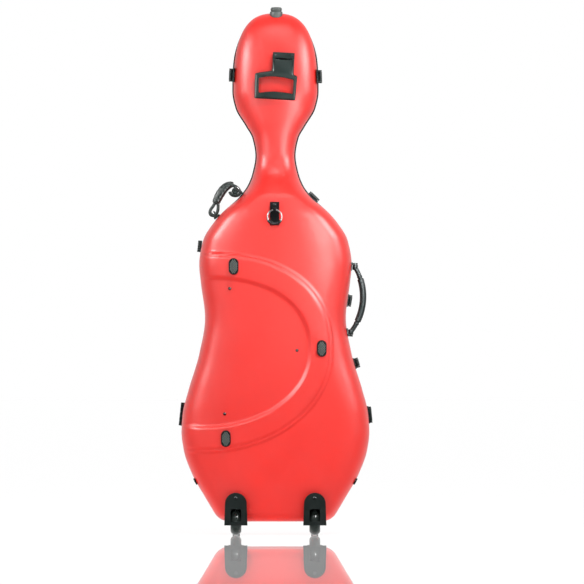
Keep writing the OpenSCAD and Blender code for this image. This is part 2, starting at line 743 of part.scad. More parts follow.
// Two bows lie side by side in the lid, tips up.
bow_x = 34;
spinner_z = 300;
module bow_spinner(side) {
  color([0.1, 0.1, 0.1]) at_seam()
    translate([side * bow_x, lid_depth - wall - lining - 1.6, spinner_z]) rotate([90, 0, 0])
      difference() {
        union() {
          cylinder(r = 11, h = 6);
          linear_extrude(6) polygon([[-9, 0], [9, 0], [7, 30], [4, 34], [-4, 34], [-7, 30]]);
          translate([-5, 27, 5]) cube([10, 6, 16]);
        }
        translate([0, 0, -1]) cylinder(r = 2.5 + run_gap, h = 20);
      }
}

module bow_spinner_studs() {
  color([0.6, 0.6, 0.6]) at_seam() for (s = [-1, 1])
    translate([s * bow_x, lid_depth - wall - 1.2, spinner_z]) rotate([90, 0, 0])
      rotate_extrude() polygon([[0, 0], [2.5, 0], [2.5, 13], [5, 13], [4, 15], [0, 15.5]]);
}

module bow_tip_pocket() {
  color([0.16, 0.16, 0.18]) at_seam()
    wall_pad(lid_profile, 1, pad_face, pad_face + 16, 845, 935, 0.25, 0.75, 6, 8);
}

module accessory_pouch() {
  color([0.16, 0.16, 0.18]) at_seam()
    wall_pad(lid_profile, 1, pad_face, pad_face + 26, 1110, 1255, 0.24, 0.76, 8, 8);
}

back_shell();
lid_shell();
back_rim();
lid_rim();
rim_gasket();
back_lining();
lid_lining();
crown_bumper();
head_handle_base();
head_handle_loop();
head_handle_pin();
head_handle_screws();
strap_lug();
strap_ring();
strap_ring_sleeve();
strap_lug_screws();
back_pads();
back_plugs();
side_handle_core();
side_handle_grip();
side_handle_brackets();
side_handle_pins();
shoulder_handle_core();
shoulder_handle_grip();
shoulder_handle_brackets();
shoulder_handle_pins();
wheel_housing(-1);  // wheel_housing_left
wheel_housing(1);  // wheel_housing_right
wheel_tyre(-1);  // wheel_tyre_left
wheel_tyre(1);  // wheel_tyre_right
wheel_hub(-1);  // wheel_hub_left
wheel_hub(1);  // wheel_hub_right
wheel_axles();
housing_screws();
front_feet();
strap_anchors();
hinge_body_leaves();
hinge_lid_leaves();
hinge_pins();
latch_bases();
latch_pins();
latch_keepers();
latch_lever(head_left);  // latch_head_left
latch_lever(head_right);  // latch_head_right
latch_lever(shoulder_right);  // latch_shoulder
latch_lever(waist_right);  // latch_waist
latch_lever(flank_right);  // latch_flank
latch_lever(bout_right);  // latch_bout
lower_bout_cushions();
upper_bout_cushions();
end_cushion();
neck_cradle();
neck_strap();
scroll_cushion();
bow_spinner(-1);  // bow_spinner_left
bow_spinner(1);  // bow_spinner_right
bow_spinner_studs();
bow_tip_pocket();
accessory_pouch();
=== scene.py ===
import math

import bmesh
import bpy
import numpy as np
from mathutils import Matrix, Vector
from mathutils.geometry import tessellate_polygon


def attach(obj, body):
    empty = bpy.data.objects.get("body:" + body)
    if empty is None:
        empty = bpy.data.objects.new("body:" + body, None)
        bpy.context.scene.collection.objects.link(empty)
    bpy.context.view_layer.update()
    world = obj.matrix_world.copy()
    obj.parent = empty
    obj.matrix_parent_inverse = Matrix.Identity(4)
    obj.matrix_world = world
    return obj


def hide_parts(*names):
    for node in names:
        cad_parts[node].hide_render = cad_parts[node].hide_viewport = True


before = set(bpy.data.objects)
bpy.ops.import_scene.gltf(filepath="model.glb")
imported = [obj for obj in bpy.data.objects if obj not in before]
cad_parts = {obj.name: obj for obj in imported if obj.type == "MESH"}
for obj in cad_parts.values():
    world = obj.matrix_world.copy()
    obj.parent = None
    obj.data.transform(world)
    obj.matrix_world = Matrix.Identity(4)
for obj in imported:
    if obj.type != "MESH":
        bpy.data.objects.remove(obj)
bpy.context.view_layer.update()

SEAM_Y = 8.5


def metres(points, matrix=None):
    """Points of the seam frame, or of a local frame given by its matrix, in Blender's metres."""
    p = np.asarray(points, float).reshape(-1, 3)
    if matrix is not None:
        m = np.array(matrix)
        p = p @ m[:3, :3].T + m[:3, 3]
    return (p + [0, SEAM_Y, 0]) / 1000


# ---- The case's form: the CAD source's curves, with softer flanks ----

CROWN_Z, BOTTOM_Z, HEAD_Z, HEAD_W = 1353, 35, 1150, 218
OUTLINE = [
    (62, 162), (94, 181), (156, 216), (218, 238), (265, 244), (312, 241), (374, 226), (468, 198),
    (562, 183), (655, 194), (700, 198), (762, 188), (811, 159), (842, 131), (874, 92), (905, 69),
    (936, 57), (983, 49), (1030, 57), (1061, 74), (1108, 101), (1150, 109)]
BACK = [
    (35, 136), (120, 142), (820, 142), (872, 130), (905, 106), (930, 84), (956, 70), (983, 64),
    (1030, 66), (1080, 75), (1150, 85)]
LID = [
    (35, 127), (140, 141), (420, 145), (800, 141), (868, 128), (905, 104), (940, 80), (983, 70),
    (1040, 71), (1150, 88)]
CROWN_POWER, DEPTH_POWER = 2.7, 2.4
WALL, LINING, RIM_Y, GASKET_Y = 4, 5, 7.5, 1.3
EDGE_R, SIDE_R = 26, 20
BACK_FACE, LID_FACE = GASKET_Y + 0.1 + RIM_Y, 0.2 + RIM_Y
BACK_DEPTH, BAND_H = 142, 8


def curve(knots, z):
    """The smooth curve through knots that never swings past them."""
    k = np.array(knots, float)
    run, rise = np.diff(k[:, 0]), np.diff(k[:, 1]) / np.diff(k[:, 0])
    slopes = np.zeros(len(k))
    slopes[0] = rise[0]
    for i in range(1, len(k) - 1):
        if rise[i - 1] * rise[i] > 0:
            a, b = run[i - 1], run[i]
            slopes[i] = 3 * (a + b) / ((a + 2 * b) / rise[i - 1] + (2 * a + b) / rise[i])
    z = np.asarray(z, float)
    i = np.clip(np.searchsorted(k[:, 0], z, side="right") - 1, 0, len(k) - 2)
    t = (z - k[i, 0]) / run[i]
    return ((2 * t + 1) * (1 - t) ** 2 * k[i, 1] + t * (1 - t) ** 2 * run[i] * slopes[i]
            + t * t * (3 - 2 * t) * k[i + 1, 1] - t * t * (1 - t) * run[i] * slopes[i + 1])


def slope(knots, z):
    return (curve(knots, z + 1) - curve(knots, z - 1)) / 2


def smooth(t):
    c = np.clip(t, 0, 1)
    return c * c * (3 - 2 * c)


def rounded(h, r):
    g = np.clip(r - np.maximum(h, 0), 0, None)
    return np.where(g > 0, r - np.sqrt(np.maximum(r * r - g * g, 0)), 0)


def crowned(a, b, p, h):
    return a * np.maximum(1 - np.clip(h / b, 0, 1) ** p, 0) ** (1 / p)


def half_width(z, t=0):
    z = np.asarray(z, float)
    head = crowned(HEAD_W / 2 - t, CROWN_Z - HEAD_Z - t, CROWN_POWER, z - HEAD_Z)
    body = (curve(OUTLINE, z) - t * np.sqrt(1 + slope(OUTLINE, z) ** 2)
            - rounded(z - BOTTOM_Z - t, SIDE_R - t))
    return np.where(z > HEAD_Z, head, body)


def depth(profile, z, t=0):
    z = np.asarray(z, float)
    top = profile[-1][1]
    head = crowned(top - t, CROWN_Z - HEAD_Z - t, DEPTH_POWER, z - HEAD_Z)
    body = (curve(profile, z) - t * np.sqrt(1 + slope(profile, z) ** 2)
            - rounded(z - BOTTOM_Z - t, EDGE_R - t))
    return np.where(z > HEAD_Z, head, body)


def squareness(z):
    return 2.7 + 1.6 * smooth((950 - z) / 110)


BAND_X, BAND_Z = -183, 473


def oval(x, z, a, b):
    p = np.where(z > BAND_Z, 2.4, 2.0)
    return (np.abs((x - BAND_X) / a) ** p + np.abs((z - BAND_Z) / b) ** p) ** (1 / p)


def band(x, z):
    """Height of the raised C band: two beads along its outer edge, one long slope on its inner edge."""
    r = np.hypot(x - BAND_X, z - BAND_Z)
    outer = r * (1 / np.maximum(oval(x, z, 335, 262), 1e-6) - 1)
    inner = r * (1 - 1 / np.maximum(oval(x, z, 265, 187), 1e-6))
    beads = 0.62 * smooth(outer / 6) + 0.38 * smooth((outer - 11) / 6)
    groove = 1.7 * np.exp(-((outer - 9.2) / 2.2) ** 2)
    return (BAND_H * beads - groove) * smooth(inner / 13)


# ---- Mesh helpers ----

def new_object(name, data):
    obj = bpy.data.objects.new(name, data)
    bpy.context.scene.collection.objects.link(obj)
    return obj


def add_mesh(name, verts, faces, sharp=40):
    """A new smooth-shaded object, its points in Blender's metres, with edges over that angle kept sharp."""
    mesh = bpy.data.meshes.new(name)
    mesh.from_pydata([tuple(v) for v in verts], [], [tuple(int(i) for i in f) for f in faces])
    mesh.update()
    mesh.shade_smooth()
    if sharp:
        mesh.set_sharp_from_angle(angle=math.radians(sharp))
    return new_object(name, mesh)


def grid_faces(rows, cols, base=0, wrap=False, flip=False):
    i, j = np.meshgrid(np.arange(rows - 1), np.arange(cols if wrap else cols - 1), indexing="ij")
    a = base + i * cols + j
    b = base + i * cols + (j + 1) % cols
    quads = np.stack([a, b, b + cols, a + cols], -1).reshape(-1, 4)
    return quads[:, ::-1] if flip else quads


def hoop_faces(rows, cols, flip=False):
    """Faces of a tube that closes on itself, with one row of points for each section along it."""
    quads = [(i * cols + j, i * cols + (j + 1) % cols, (i + 1) % rows * cols + (j + 1) % cols,
              (i + 1) % rows * cols + j) for i in range(rows) for j in range(cols)]
    return [(a, d, c, b) for a, b, c, d in quads] if flip else quads


def unit(vectors):
    return vectors / np.linalg.norm(vectors, axis=1)[:, None]


def headings(path, closed):
    """Unit vectors along a path, one for each of its points."""
    if closed:
        return unit(np.roll(path, -1, 0) - np.roll(path, 1, 0))
    return unit(np.vstack([path[1:], path[-1:]]) - np.vstack([path[:1], path[:-1]]))


def loft(rings):
    """Points and faces of a closed tube through rings of equally many points, with its ends filled."""
    rings = np.asarray(rings, float)
    rows, cols = rings.shape[:2]
    verts = rings.reshape(-1, 3)
    faces = [tuple(f) for f in grid_faces(rows, cols, wrap=True)]
    for at in (0, rows - 1):
        middle = len(verts)
        verts = np.vstack([verts, verts[at * cols:(at + 1) * cols].mean(0)])
        for j in range(cols):
            a, b = at * cols + j, at * cols + (j + 1) % cols
            faces.append((b, a, middle) if at == 0 else (a, b, middle))
    return verts, faces


def joined(parts):
    """Several (points, faces) as one."""
    verts, faces, n = [], [], 0
    for v, f in parts:
        verts.append(np.asarray(v, float))
        faces += [tuple(int(i) + n for i in face) for face in f]
        n += len(v)
    return np.vstack(verts), faces


def lathe(profile, steps=48):
    """Profile points (radius, height) turned about the local Z axis. A radius of 0 closes an end."""
    a = np.arange(steps) * 2 * math.pi / steps
    ring = np.stack([np.cos(a), np.sin(a), np.zeros(steps)], 1)
    rings = [ring * max(r, 1e-3) + [0, 0, h] for r, h in profile]
    return loft(rings)


def sweep(path, section, up=(0, 1, 0), scales=None, closed=False):
    """A section of (across, along up) points carried along a path that lies square to up."""
    path, up = np.asarray(path, float), np.asarray(up, float)
    along = headings(path, closed)
    side = unit(np.cross(along, up))
    lift = np.cross(side, along)
    section = np.asarray(section, float)
    scales = np.ones((len(path), 2)) if scales is None else np.asarray(scales, float)
    if scales.ndim == 1:
        scales = np.stack([scales, scales], 1)
    rings = [p + side[i] * section[:, :1] * scales[i, 0] + lift[i] * section[:, 1:] * scales[i, 1]
             for i, p in enumerate(path)]
    if closed:
        return np.array(rings).reshape(-1, 3), hoop_faces(len(rings), len(section))
    return loft(rings)


def oval_section(a, b, n=24, power=2.0):
    t = np.arange(n) * 2 * math.pi / n
    c, s = np.cos(t), np.sin(t)
    q = (np.abs(c) ** power + np.abs(s) ** power) ** (1 / power)
    return np.stack([a * c / q, b * s / q], 1)


def filleted(points, radius, steps=5):
    """A closed outline with each corner rounded; radius is one number or one for each corner."""
    pts = [np.array(p, float) for p in points]
    n = len(pts)
    radii = [radius] * n if np.isscalar(radius) else radius
    made = []
    for i, p in enumerate(pts):
        a, b = pts[i - 1] - p, pts[(i + 1) % n] - p
        la, lb = np.linalg.norm(a), np.linalg.norm(b)
        a, b = a / la, b / lb
        half = math.acos(max(-1, min(1, float(a @ b)))) / 2
        if radii[i] <= 0 or half > math.radians(88):
            made.append(p)
            continue
        reach = min(radii[i] / math.tan(half), 0.48 * la, 0.48 * lb)
        r = reach * math.tan(half)
        middle = p + (a + b) / np.linalg.norm(a + b) * (r / math.sin(half))
        start, end = p + a * reach - middle, p + b * reach - middle
        t0 = math.atan2(start[1], start[0])
        turn = (math.atan2(end[1], end[0]) - t0 + math.pi) % (2 * math.pi) - math.pi
        for k in range(steps + 1):
            t = t0 + turn * k / steps
            made.append(middle + r * np.array([math.cos(t), math.sin(t)]))
    return np.array(made)


def inset(loop, d):
    """A closed outline moved inwards by d (its points run anticlockwise), with mitred corners."""
    loop = np.asarray(loop, float)
    ahead, behind = unit(np.roll(loop, -1, 0) - loop), unit(loop - np.roll(loop, 1, 0))
    n1, n2 = np.stack([-ahead[:, 1], ahead[:, 0]], 1), np.stack([-behind[:, 1], behind[:, 0]], 1)
    middle = n1 + n2
    middle /= np.maximum((middle * middle).sum(1), 1e-9)[:, None] / 2
    return loop + middle * d


def anticlockwise(loop):
    loop = np.asarray(loop, float)
    x, y = loop[:, 0], loop[:, 1]
    return loop if (x * np.roll(y, -1) - y * np.roll(x, -1)).sum() > 0 else loop[::-1]


def slab(outer, holes=(), steps=((0, 0), (0, 1)), hole_steps=None):
    """A plate with shaped edges. steps are (inset, height) pairs from its back face to its front face."""
    hole_steps = steps if hole_steps is None else hole_steps
    loops = [(anticlockwise(outer), steps)]
    loops += [(anticlockwise(h)[::-1], hole_steps) for h in holes]
    verts, faces, ends = [], [], [[], []]
    n = 0
    for loop, these in loops:
        cols = len(loop)
        for d, h in these:
            verts += [(p[0], p[1], h) for p in inset(loop, d)]
        faces += [tuple(f) for f in grid_faces(len(these), cols, base=n, wrap=True)]
        ends[0].append(list(range(n, n + cols)))
        ends[1].append(list(range(n + (len(these) - 1) * cols, n + len(these) * cols)))
        n = len(verts)
    for at, groups in enumerate(ends):
        flat = [[Vector((verts[i][0], verts[i][1], 0)) for i in group] for group in groups]
        index = [i for group in groups for i in group]
        for tri in tessellate_polygon(flat):
            a, b, c = (index[i] for i in tri)
            p, q, r = (np.array(verts[i][:2]) for i in (a, b, c))
            up = (q - p)[0] * (r - p)[1] - (q - p)[1] * (r - p)[0] > 0
            faces.append((a, b, c) if up == (at == 1) else (a, c, b))
    return np.array(verts, float), faces


def rotation(axis, degrees):
    return Matrix.Rotation(math.radians(degrees), 4, axis)


FACING_BACK = rotation("X", 90)  # local Z becomes -Y, the way the back shell faces


def screw_head(r, h):
    """A domed screw head with a cross recess, on the local Z axis."""
    def dome(x, y):
        d = np.hypot(x, y) / r
        z = h * np.sqrt(np.clip(1 - (d * 0.98) ** 2.6, 0, 1))
        arm = 0.16 * r
        cross = ((np.abs(x) < arm) | (np.abs(y) < arm)) & (d < 0.55)
        return z - 0.45 * h * cross
    a = np.linspace(0, 2 * math.pi, 33)[:-1]
    radii = np.array([1, 0.985, 0.93, 0.8, 0.66, 0.57, 0.53, 0.4, 0.26, 0.2, 0.14, 0.07]) * r
    rings = [np.stack([q * np.cos(a), q * np.sin(a), dome(q * np.cos(a), q * np.sin(a))], 1) for q in radii]
    skirt = np.stack([r * np.cos(a), r * np.sin(a), np.full(32, -0.6)], 1)
    return loft([skirt] + rings)


# ---- Materials ----

def add_node(tree, kind, values=(), **settings):
    """A new node with its settings, and the (input, value) pairs of its own inputs."""
    node = tree.nodes.new(kind)
    for key, value in settings.items():
        setattr(node, key, value)
    for key, value in values:
        node.inputs[key].default_value = value
    return node


class Shader:
    """A Principled material with procedural colour, roughness and relief in object space."""

    def __init__(self, name, color, roughness, **fixed):
        self.mat = bpy.data.materials.new(name)
        self.mat.use_nodes = True
        self.links = self.mat.node_tree.links
        self.bsdf = self.mat.node_tree.nodes["Principled BSDF"]
        self.bsdf.inputs["Base Color"].default_value = (*color, 1)
        self.bsdf.inputs["Roughness"].default_value = roughness
        for key, value in fixed.items():
            self.bsdf.inputs[key.replace("_", " ")].default_value = value
        self.mat.diffuse_color = (*color, 1)
        self.color, self.roughness = color, roughness
        self.place = self.node("ShaderNodeTexCoord").outputs["Object"]
        self.normal = None

    def node(self, kind, values=(), **settings):
        return add_node(self.mat.node_tree, kind, values, **settings)

    def pattern(self, kind, output, values, place=None, **settings):
        """The output of a texture laid out in object space."""
        n = self.node(kind, values, **settings)
        self.links.new(self.place if place is None else place, n.inputs["Vector"])
        return n.outputs[output]

    def noise(self, scale, detail=2.0, stretch=None):
        place = self.pattern("ShaderNodeMapping", "Vector", [("Scale", stretch)]) if stretch else None
        return self.pattern("ShaderNodeTexNoise", "Fac", [("Scale", scale), ("Detail", detail)], place)

    def cells(self, scale, smoothness):
        return self.pattern("ShaderNodeTexVoronoi", "Distance",
                            [("Scale", scale), ("Smoothness", smoothness)], feature="SMOOTH_F1")

    def weave(self, pitch_mm):
        """Two crossed rows of threads, finer for a smaller pitch."""
        top = self.node("ShaderNodeMath", operation="MAXIMUM")
        for i, axis in enumerate("XZ"):
            values = [("Scale", 157 / pitch_mm), ("Distortion", 0.6)]
            threads = self.pattern("ShaderNodeTexWave", "Fac", values,
                                   wave_type="BANDS", bands_direction=axis)
            self.links.new(threads, top.inputs[i])
        return top.outputs[0]

    def ramp(self, source, low, high):
        r = self.node("ShaderNodeMapRange",
                      [("From Min", 0.3), ("From Max", 0.7), ("To Min", low), ("To Max", high)])
        self.links.new(source, r.inputs["Value"])
        return r.outputs["Result"]

    def vary_roughness(self, source, by):
        r = self.ramp(source, self.roughness - by, self.roughness + by)
        self.links.new(r, self.bsdf.inputs["Roughness"])
        return self

    def vary_color(self, source, other):
        # inputs 6 and 7 and output 2 are the node's colours
        mix = self.node("ShaderNodeMix", [(6, (*self.color, 1)), (7, (*other, 1))], data_type="RGBA")
        self.links.new(self.ramp(source, 0, 1), mix.inputs[0])
        self.links.new(mix.outputs[2], self.bsdf.inputs["Base Color"])
        return self

    def relief(self, source, depth_mm):
        b = self.node("ShaderNodeBump", [("Strength", 1.0), ("Distance", depth_mm / 1000)])
        self.links.new(source, b.inputs["Height"])
        if self.normal:
            self.links.new(self.normal, b.inputs["Normal"])
        self.normal = b.outputs["Normal"]
        self.links.new(self.normal, self.bsdf.inputs["Normal"])
        return self


def make_materials():
    m = {}
    s = m["red"] = Shader("moulded_red_abs", (0.80, 0.012, 0.005), 0.40, Specular_IOR_Level=0.55)
    s.vary_color(s.noise(6, 3), (0.76, 0.010, 0.004)).vary_roughness(s.noise(14, 3), 0.03)
    s.relief(s.cells(620, 0.8), 0.16).relief(s.noise(1700, 2), 0.05)
    s = m["inner_skin"] = Shader("shell_inner_skin", (0.030, 0.030, 0.032), 0.6)
    s.vary_roughness(s.noise(30), 0.06).relief(s.noise(900, 3), 0.05)
    s = m["rim"] = Shader("edge_profile_black", (0.003, 0.003, 0.003), 0.7, Specular_IOR_Level=0.12)
    s.vary_roughness(s.noise(40), 0.06).relief(s.noise(700, 2), 0.03)
    s = m["gasket"] = Shader("gasket_rubber", (0.02, 0.02, 0.02), 0.75)
    s.vary_roughness(s.noise(90), 0.05).relief(s.noise(1200, 2), 0.04)
    s = m["nylon"] = Shader("nylon_black", (0.004, 0.009, 0.008), 0.42, Specular_IOR_Level=0.28)
    s.vary_color(s.noise(22, 3), (0.007, 0.013, 0.012)).vary_roughness(s.noise(60, 3), 0.05)
    s.relief(s.cells(1500, 0.7), 0.04)
    s = m["gloss"] = Shader("nylon_gloss", (0.006, 0.007, 0.008), 0.14, Specular_IOR_Level=0.6)
    s.vary_roughness(s.noise(70, 3), 0.03).relief(s.noise(260, 2), 0.02)
    s = m["handle"] = Shader("handle_moulded_green_black", (0.005, 0.013, 0.011), 0.36,
                             Specular_IOR_Level=0.32)
    s.vary_color(s.noise(18, 3), (0.010, 0.019, 0.017)).vary_roughness(s.noise(50, 3), 0.05)
    s.relief(s.cells(1300, 0.8), 0.05)
    s = m["rubber"] = Shader("grip_rubber", (0.005, 0.011, 0.011), 0.38, Specular_IOR_Level=0.32)
    s.vary_color(s.noise(25, 3), (0.011, 0.019, 0.019)).vary_roughness(s.noise(80, 3), 0.06)
    s.relief(s.cells(900, 0.7), 0.07)
    s = m["leather"] = Shader("grip_leatherette", (0.003, 0.008, 0.007), 0.34, Specular_IOR_Level=0.35,
                              Sheen_Weight=0.15, Sheen_Roughness=0.5)
    s.vary_color(s.noise(35, 3), (0.008, 0.015, 0.013)).vary_roughness(s.noise(110, 3), 0.07)
    s.relief(s.cells(480, 0.4), 0.16).relief(s.noise(1400, 2), 0.04)
    s = m["pad"] = Shader("pad_rubber", (0.003, 0.003, 0.003), 0.6, Specular_IOR_Level=0.12)
    s.vary_color(s.noise(200, 2), (0.006, 0.006, 0.006)).relief(s.noise(1600, 2), 0.05)
    s = m["bumper"] = Shader("bumper_rubber", (0.045, 0.055, 0.050), 0.5)
    s.vary_color(s.noise(90, 3), (0.065, 0.078, 0.072)).relief(s.noise(1000, 3), 0.06)
    # painted highlight: the pads' small pyramids are coloured grey-green, far lighter than the black rubber
    # they stand on, to stand in for light catching their tips
    s = m["grip"] = Shader("pad_grip_painted_highlight", (0.095, 0.115, 0.105), 0.5)
    s.vary_color(s.noise(120, 2), (0.120, 0.145, 0.130)).relief(s.noise(1500, 2), 0.04)
    s = m["tyre"] = Shader("wheel_polyurethane", (0.022, 0.030, 0.027), 0.12)
    s.vary_color(s.noise(60, 4), (0.034, 0.042, 0.039)).vary_roughness(s.noise(120, 3), 0.05)
    s.relief(s.noise(500, 3), 0.05)
    s = m["hub"] = Shader("hub_nylon", (0.014, 0.015, 0.016), 0.32)
    s.vary_roughness(s.noise(90, 2), 0.05).relief(s.noise(1100, 2), 0.03)
    s = m["steel"] = Shader("plated_steel", (0.60, 0.61, 0.62), 0.27, Metallic=1.0)
    s.vary_roughness(s.noise(600, 2, stretch=(1, 6, 1)), 0.07).relief(s.noise(1800, 2), 0.01)
    s = m["bright"] = Shader("polished_steel", (0.16, 0.15, 0.15), 0.32, Metallic=1.0)
    s.vary_roughness(s.noise(300, 2), 0.03).relief(s.noise(900, 2), 0.004)
    s = m["screw"] = Shader("blackened_screw", (0.05, 0.052, 0.055), 0.28, Metallic=0.8)
    s.vary_roughness(s.noise(400, 2), 0.06)
    s = m["plush"] = Shader("plush_charcoal", (0.022, 0.022, 0.026), 0.92, Sheen_Weight=0.55,
                            Sheen_Roughness=0.4, Specular_IOR_Level=0.15)
    s.vary_color(s.noise(30, 4), (0.040, 0.040, 0.046)).relief(s.noise(1500, 3), 0.35)
    s.relief(s.noise(45, 2), 0.8)
    s = m["velvet"] = Shader("velvet_cushion", (0.030, 0.030, 0.036), 0.88, Sheen_Weight=0.7,
                             Sheen_Roughness=0.35, Specular_IOR_Level=0.15)
    s.vary_color(s.noise(40, 4), (0.055, 0.055, 0.064)).relief(s.weave(1.1), 0.12)
    s.relief(s.noise(1400, 2), 0.15)
    s = m["webbing"] = Shader("woven_strap", (0.014, 0.014, 0.015), 0.75, Sheen_Weight=0.25,
                              Sheen_Roughness=0.5)
    s.vary_color(s.noise(300, 2), (0.03, 0.03, 0.032)).relief(s.weave(1.6), 0.25)
    s = m["tape"] = Shader("zip_tape", (0.018, 0.018, 0.02), 0.7)
    s.vary_color(s.noise(200, 2), (0.03, 0.03, 0.033)).relief(s.weave(0.9), 0.1)
    return {k: v.mat for k, v in m.items()}


MAT = make_materials()


def piece(name, shape, material, body, replaces=(), matrix=None, sharp=40):
    """A finished piece from (points, faces) in millimetres."""
    verts, faces = shape
    obj = add_mesh(name, metres(verts, matrix), faces, sharp)
    return finished(obj, material, body, replaces)


def finished(obj, material, body, replaces=()):
    if material:
        obj.data.materials.clear()
        obj.data.materials.append(MAT[material])
    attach(obj, body)
    if replaces:
        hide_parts(*replaces)
    return obj


def cad(node, material, bevel=0.5, segments=2):
    """A CAD node that stays, with its real material and its edges eased by modifiers."""
    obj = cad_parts[node]
    mesh = obj.data
    mesh.materials.clear()
    mesh.materials.append(MAT[material])
    if mesh.has_custom_normals:
        with bpy.context.temp_override(object=obj, active_object=obj, selected_objects=[obj]):
            bpy.ops.mesh.customdata_custom_splitnormals_clear()
    mesh.shade_smooth()
    weld = obj.modifiers.new("weld", "WELD")
    weld.merge_threshold = 1e-5
    if bevel:
        flat = obj.modifiers.new("flat", "DECIMATE")
        flat.decimate_type = "DISSOLVE"
        flat.angle_limit = math.radians(0.5)
        edge = obj.modifiers.new("edge", "BEVEL")
        edge.width = bevel / 1000
        edge.segments = segments
        edge.limit_method = "ANGLE"
        edge.angle_limit = math.radians(35)
        edge.use_clamp_overlap = True
        edge.miter_outer = "MITER_ARC"
    even = obj.modifiers.new("even", "WEIGHTED_NORMAL")
    even.keep_sharp = False
    return obj


# ---- Shells, rims and lining ----

COARSENESS = 1.0  # larger faces while trying things
BAND_ZONE = (195, 752)


def spaced_rows(profile, t, step, fine_step):
    """Heights up a skin at even steps along its surface, closer together across the band."""
    top = CROWN_Z - t
    bend = np.linspace(0, 1, 1500)
    z = np.concatenate([BOTTOM_Z + t + (EDGE_R + 6) * bend[:-1] ** 2,
                        BOTTOM_Z + t + EDGE_R + 6 + (HEAD_Z - BOTTOM_Z - t - EDGE_R - 6) * bend[:-1],
                        HEAD_Z + (top - HEAD_Z) * np.sin(bend * math.pi / 2) ** 0.74])
    w, d = half_width(z, t), depth(profile, z, t)
    along = np.sqrt(np.diff(z) ** 2 + np.diff(w) ** 2 + np.diff(d) ** 2)
    middle = (z[1:] + z[:-1]) / 2
    fine = smooth((middle - BAND_ZONE[0] + 30) / 30) * smooth((BAND_ZONE[1] + 30 - middle) / 30)
    count = np.concatenate([[0], np.cumsum(along / (step + (fine_step - step) * fine))])
    n = int(count[-1])
    return np.interp(np.linspace(0, count[-1], n), count, z)


def arches(profile, side, zs, t, face, cols, raised=False, shrink=None):
    """Rows of points across a shell, one row for each height, evenly spaced along each arch."""
    a = np.linspace(0, math.pi, 1201)
    c, s = np.cos(a), np.sin(a)
    rows = []
    for i, z in enumerate(zs):
        w, d, p = float(half_width(z, t)), float(depth(profile, z, t)), float(squareness(z))
        q = (np.abs(c) ** p + np.abs(s) ** p) ** (1 / p)
        w, d = max(w, 0.05), max(d, face + 0.05)
        x, y = w * c / q, face + (d - face) * s / q
        along = np.concatenate([[0], np.cumsum(np.hypot(np.diff(x), np.diff(y)))])
        even = np.linspace(0, along[-1], cols)
        x, y = np.interp(even, along, x), np.interp(even, along, y)
        if raised:
            y = y + band(x, z) * np.clip((y - face) / (d - face), 0, 1)
        k = 1 if shrink is None else shrink[i]
        rows.append(np.stack([x * k, side * (face + (y - face) * k), np.full(cols, z)], 1))
    return np.array(rows)


def half_shell(profile, side, t1, t2, face, cols, step, fine_step, raised=False, coarse=1):
    """A closed half shell between two skins: both skins share rows, and the bottom closes inwards.

    The inner skin has one column for every coarse columns of the outer one. The last value is the
    numbers of the faces on the inner skin."""
    outer_z = spaced_rows(profile, t1, step, fine_step)
    inner_z = BOTTOM_Z + t2 + (outer_z - BOTTOM_Z - t1) * (CROWN_Z - t2 - BOTTOM_Z - t2) / (
        CROWN_Z - t1 - BOTTOM_Z - t1)
    floor = np.linspace(0, 1, 12)[:-1] ** 0.8

    def skin(zs, t, lifted, cols):
        whole = arches(profile, side, zs, t, face, cols, lifted)
        bottom = arches(profile, side, np.full(len(floor), zs[0]), t, face, cols, False, floor)
        return np.concatenate([bottom, whole])

    inner_cols = (cols - 1) // coarse + 1
    outer, inner = skin(outer_z, t1, raised, cols), skin(inner_z, t2, False, inner_cols)
    rows, n = len(outer), outer.shape[0] * cols
    verts = np.concatenate([outer.reshape(-1, 3), inner.reshape(-1, 3)])
    flip = side > 0
    faces = [tuple(f) for f in grid_faces(rows, cols, 0, flip=not flip)]
    first = len(faces)
    faces += [tuple(f) for f in grid_faces(rows, inner_cols, n, flip=flip)]
    inside = range(first, len(faces))
    for j, k, turn in ((0, 0, flip), (cols - 1, inner_cols - 1, not flip)):
        for i in range(rows - 1):
            quad = (i * cols + j, (i + 1) * cols + j, n + (i + 1) * inner_cols + k, n + i * inner_cols + k)
            faces.append(quad[::-1] if turn else quad)
    last, inner_last = (rows - 1) * cols, n + (rows - 1) * inner_cols
    for j in range(inner_cols - 1):
        crown = tuple(last + j * coarse + k for k in range(coarse + 1)) + (inner_last + j + 1, inner_last + j)
        faces.append(crown if flip else crown[::-1])
    return verts, faces, inside


def shell(name, profile, side, face, raised):
    cols = 4 * int((56 if raised else 40) / COARSENESS) + 1
    step, fine_step = 8 * COARSENESS, (3.1 if raised else 8) * COARSENESS
    verts, faces, inside = half_shell(
        profile, side, 0, WALL, face, cols, step, fine_step, raised, coarse=4)
    obj = add_mesh(name, metres(verts), faces, sharp=None)
    obj.data.materials.append(MAT["red"])
    obj.data.materials.append(MAT["inner_skin"])
    slots = np.zeros(len(obj.data.polygons), int)
    slots[list(inside)] = 1
    obj.data.polygons.foreach_set("material_index", slots)
    merge_close(obj)
    return obj


def merge_close(obj):
    bm = bmesh.new()
    bm.from_mesh(obj.data)
    bmesh.ops.remove_doubles(bm, verts=bm.verts, dist=1e-6)
    bmesh.ops.dissolve_degenerate(bm, dist=1e-7, edges=bm.edges)
    bm.to_mesh(obj.data)
    bm.free()


def apply_modifiers(obj):
    bpy.context.view_layer.update()
    made = bpy.data.meshes.new_from_object(obj.evaluated_get(bpy.context.evaluated_depsgraph_get()))
    obj.modifiers.clear()
    obj.data = made


WHEEL_X, WHEEL_Y, WHEEL_R, WHEEL_W = 102, 120, 35, 28


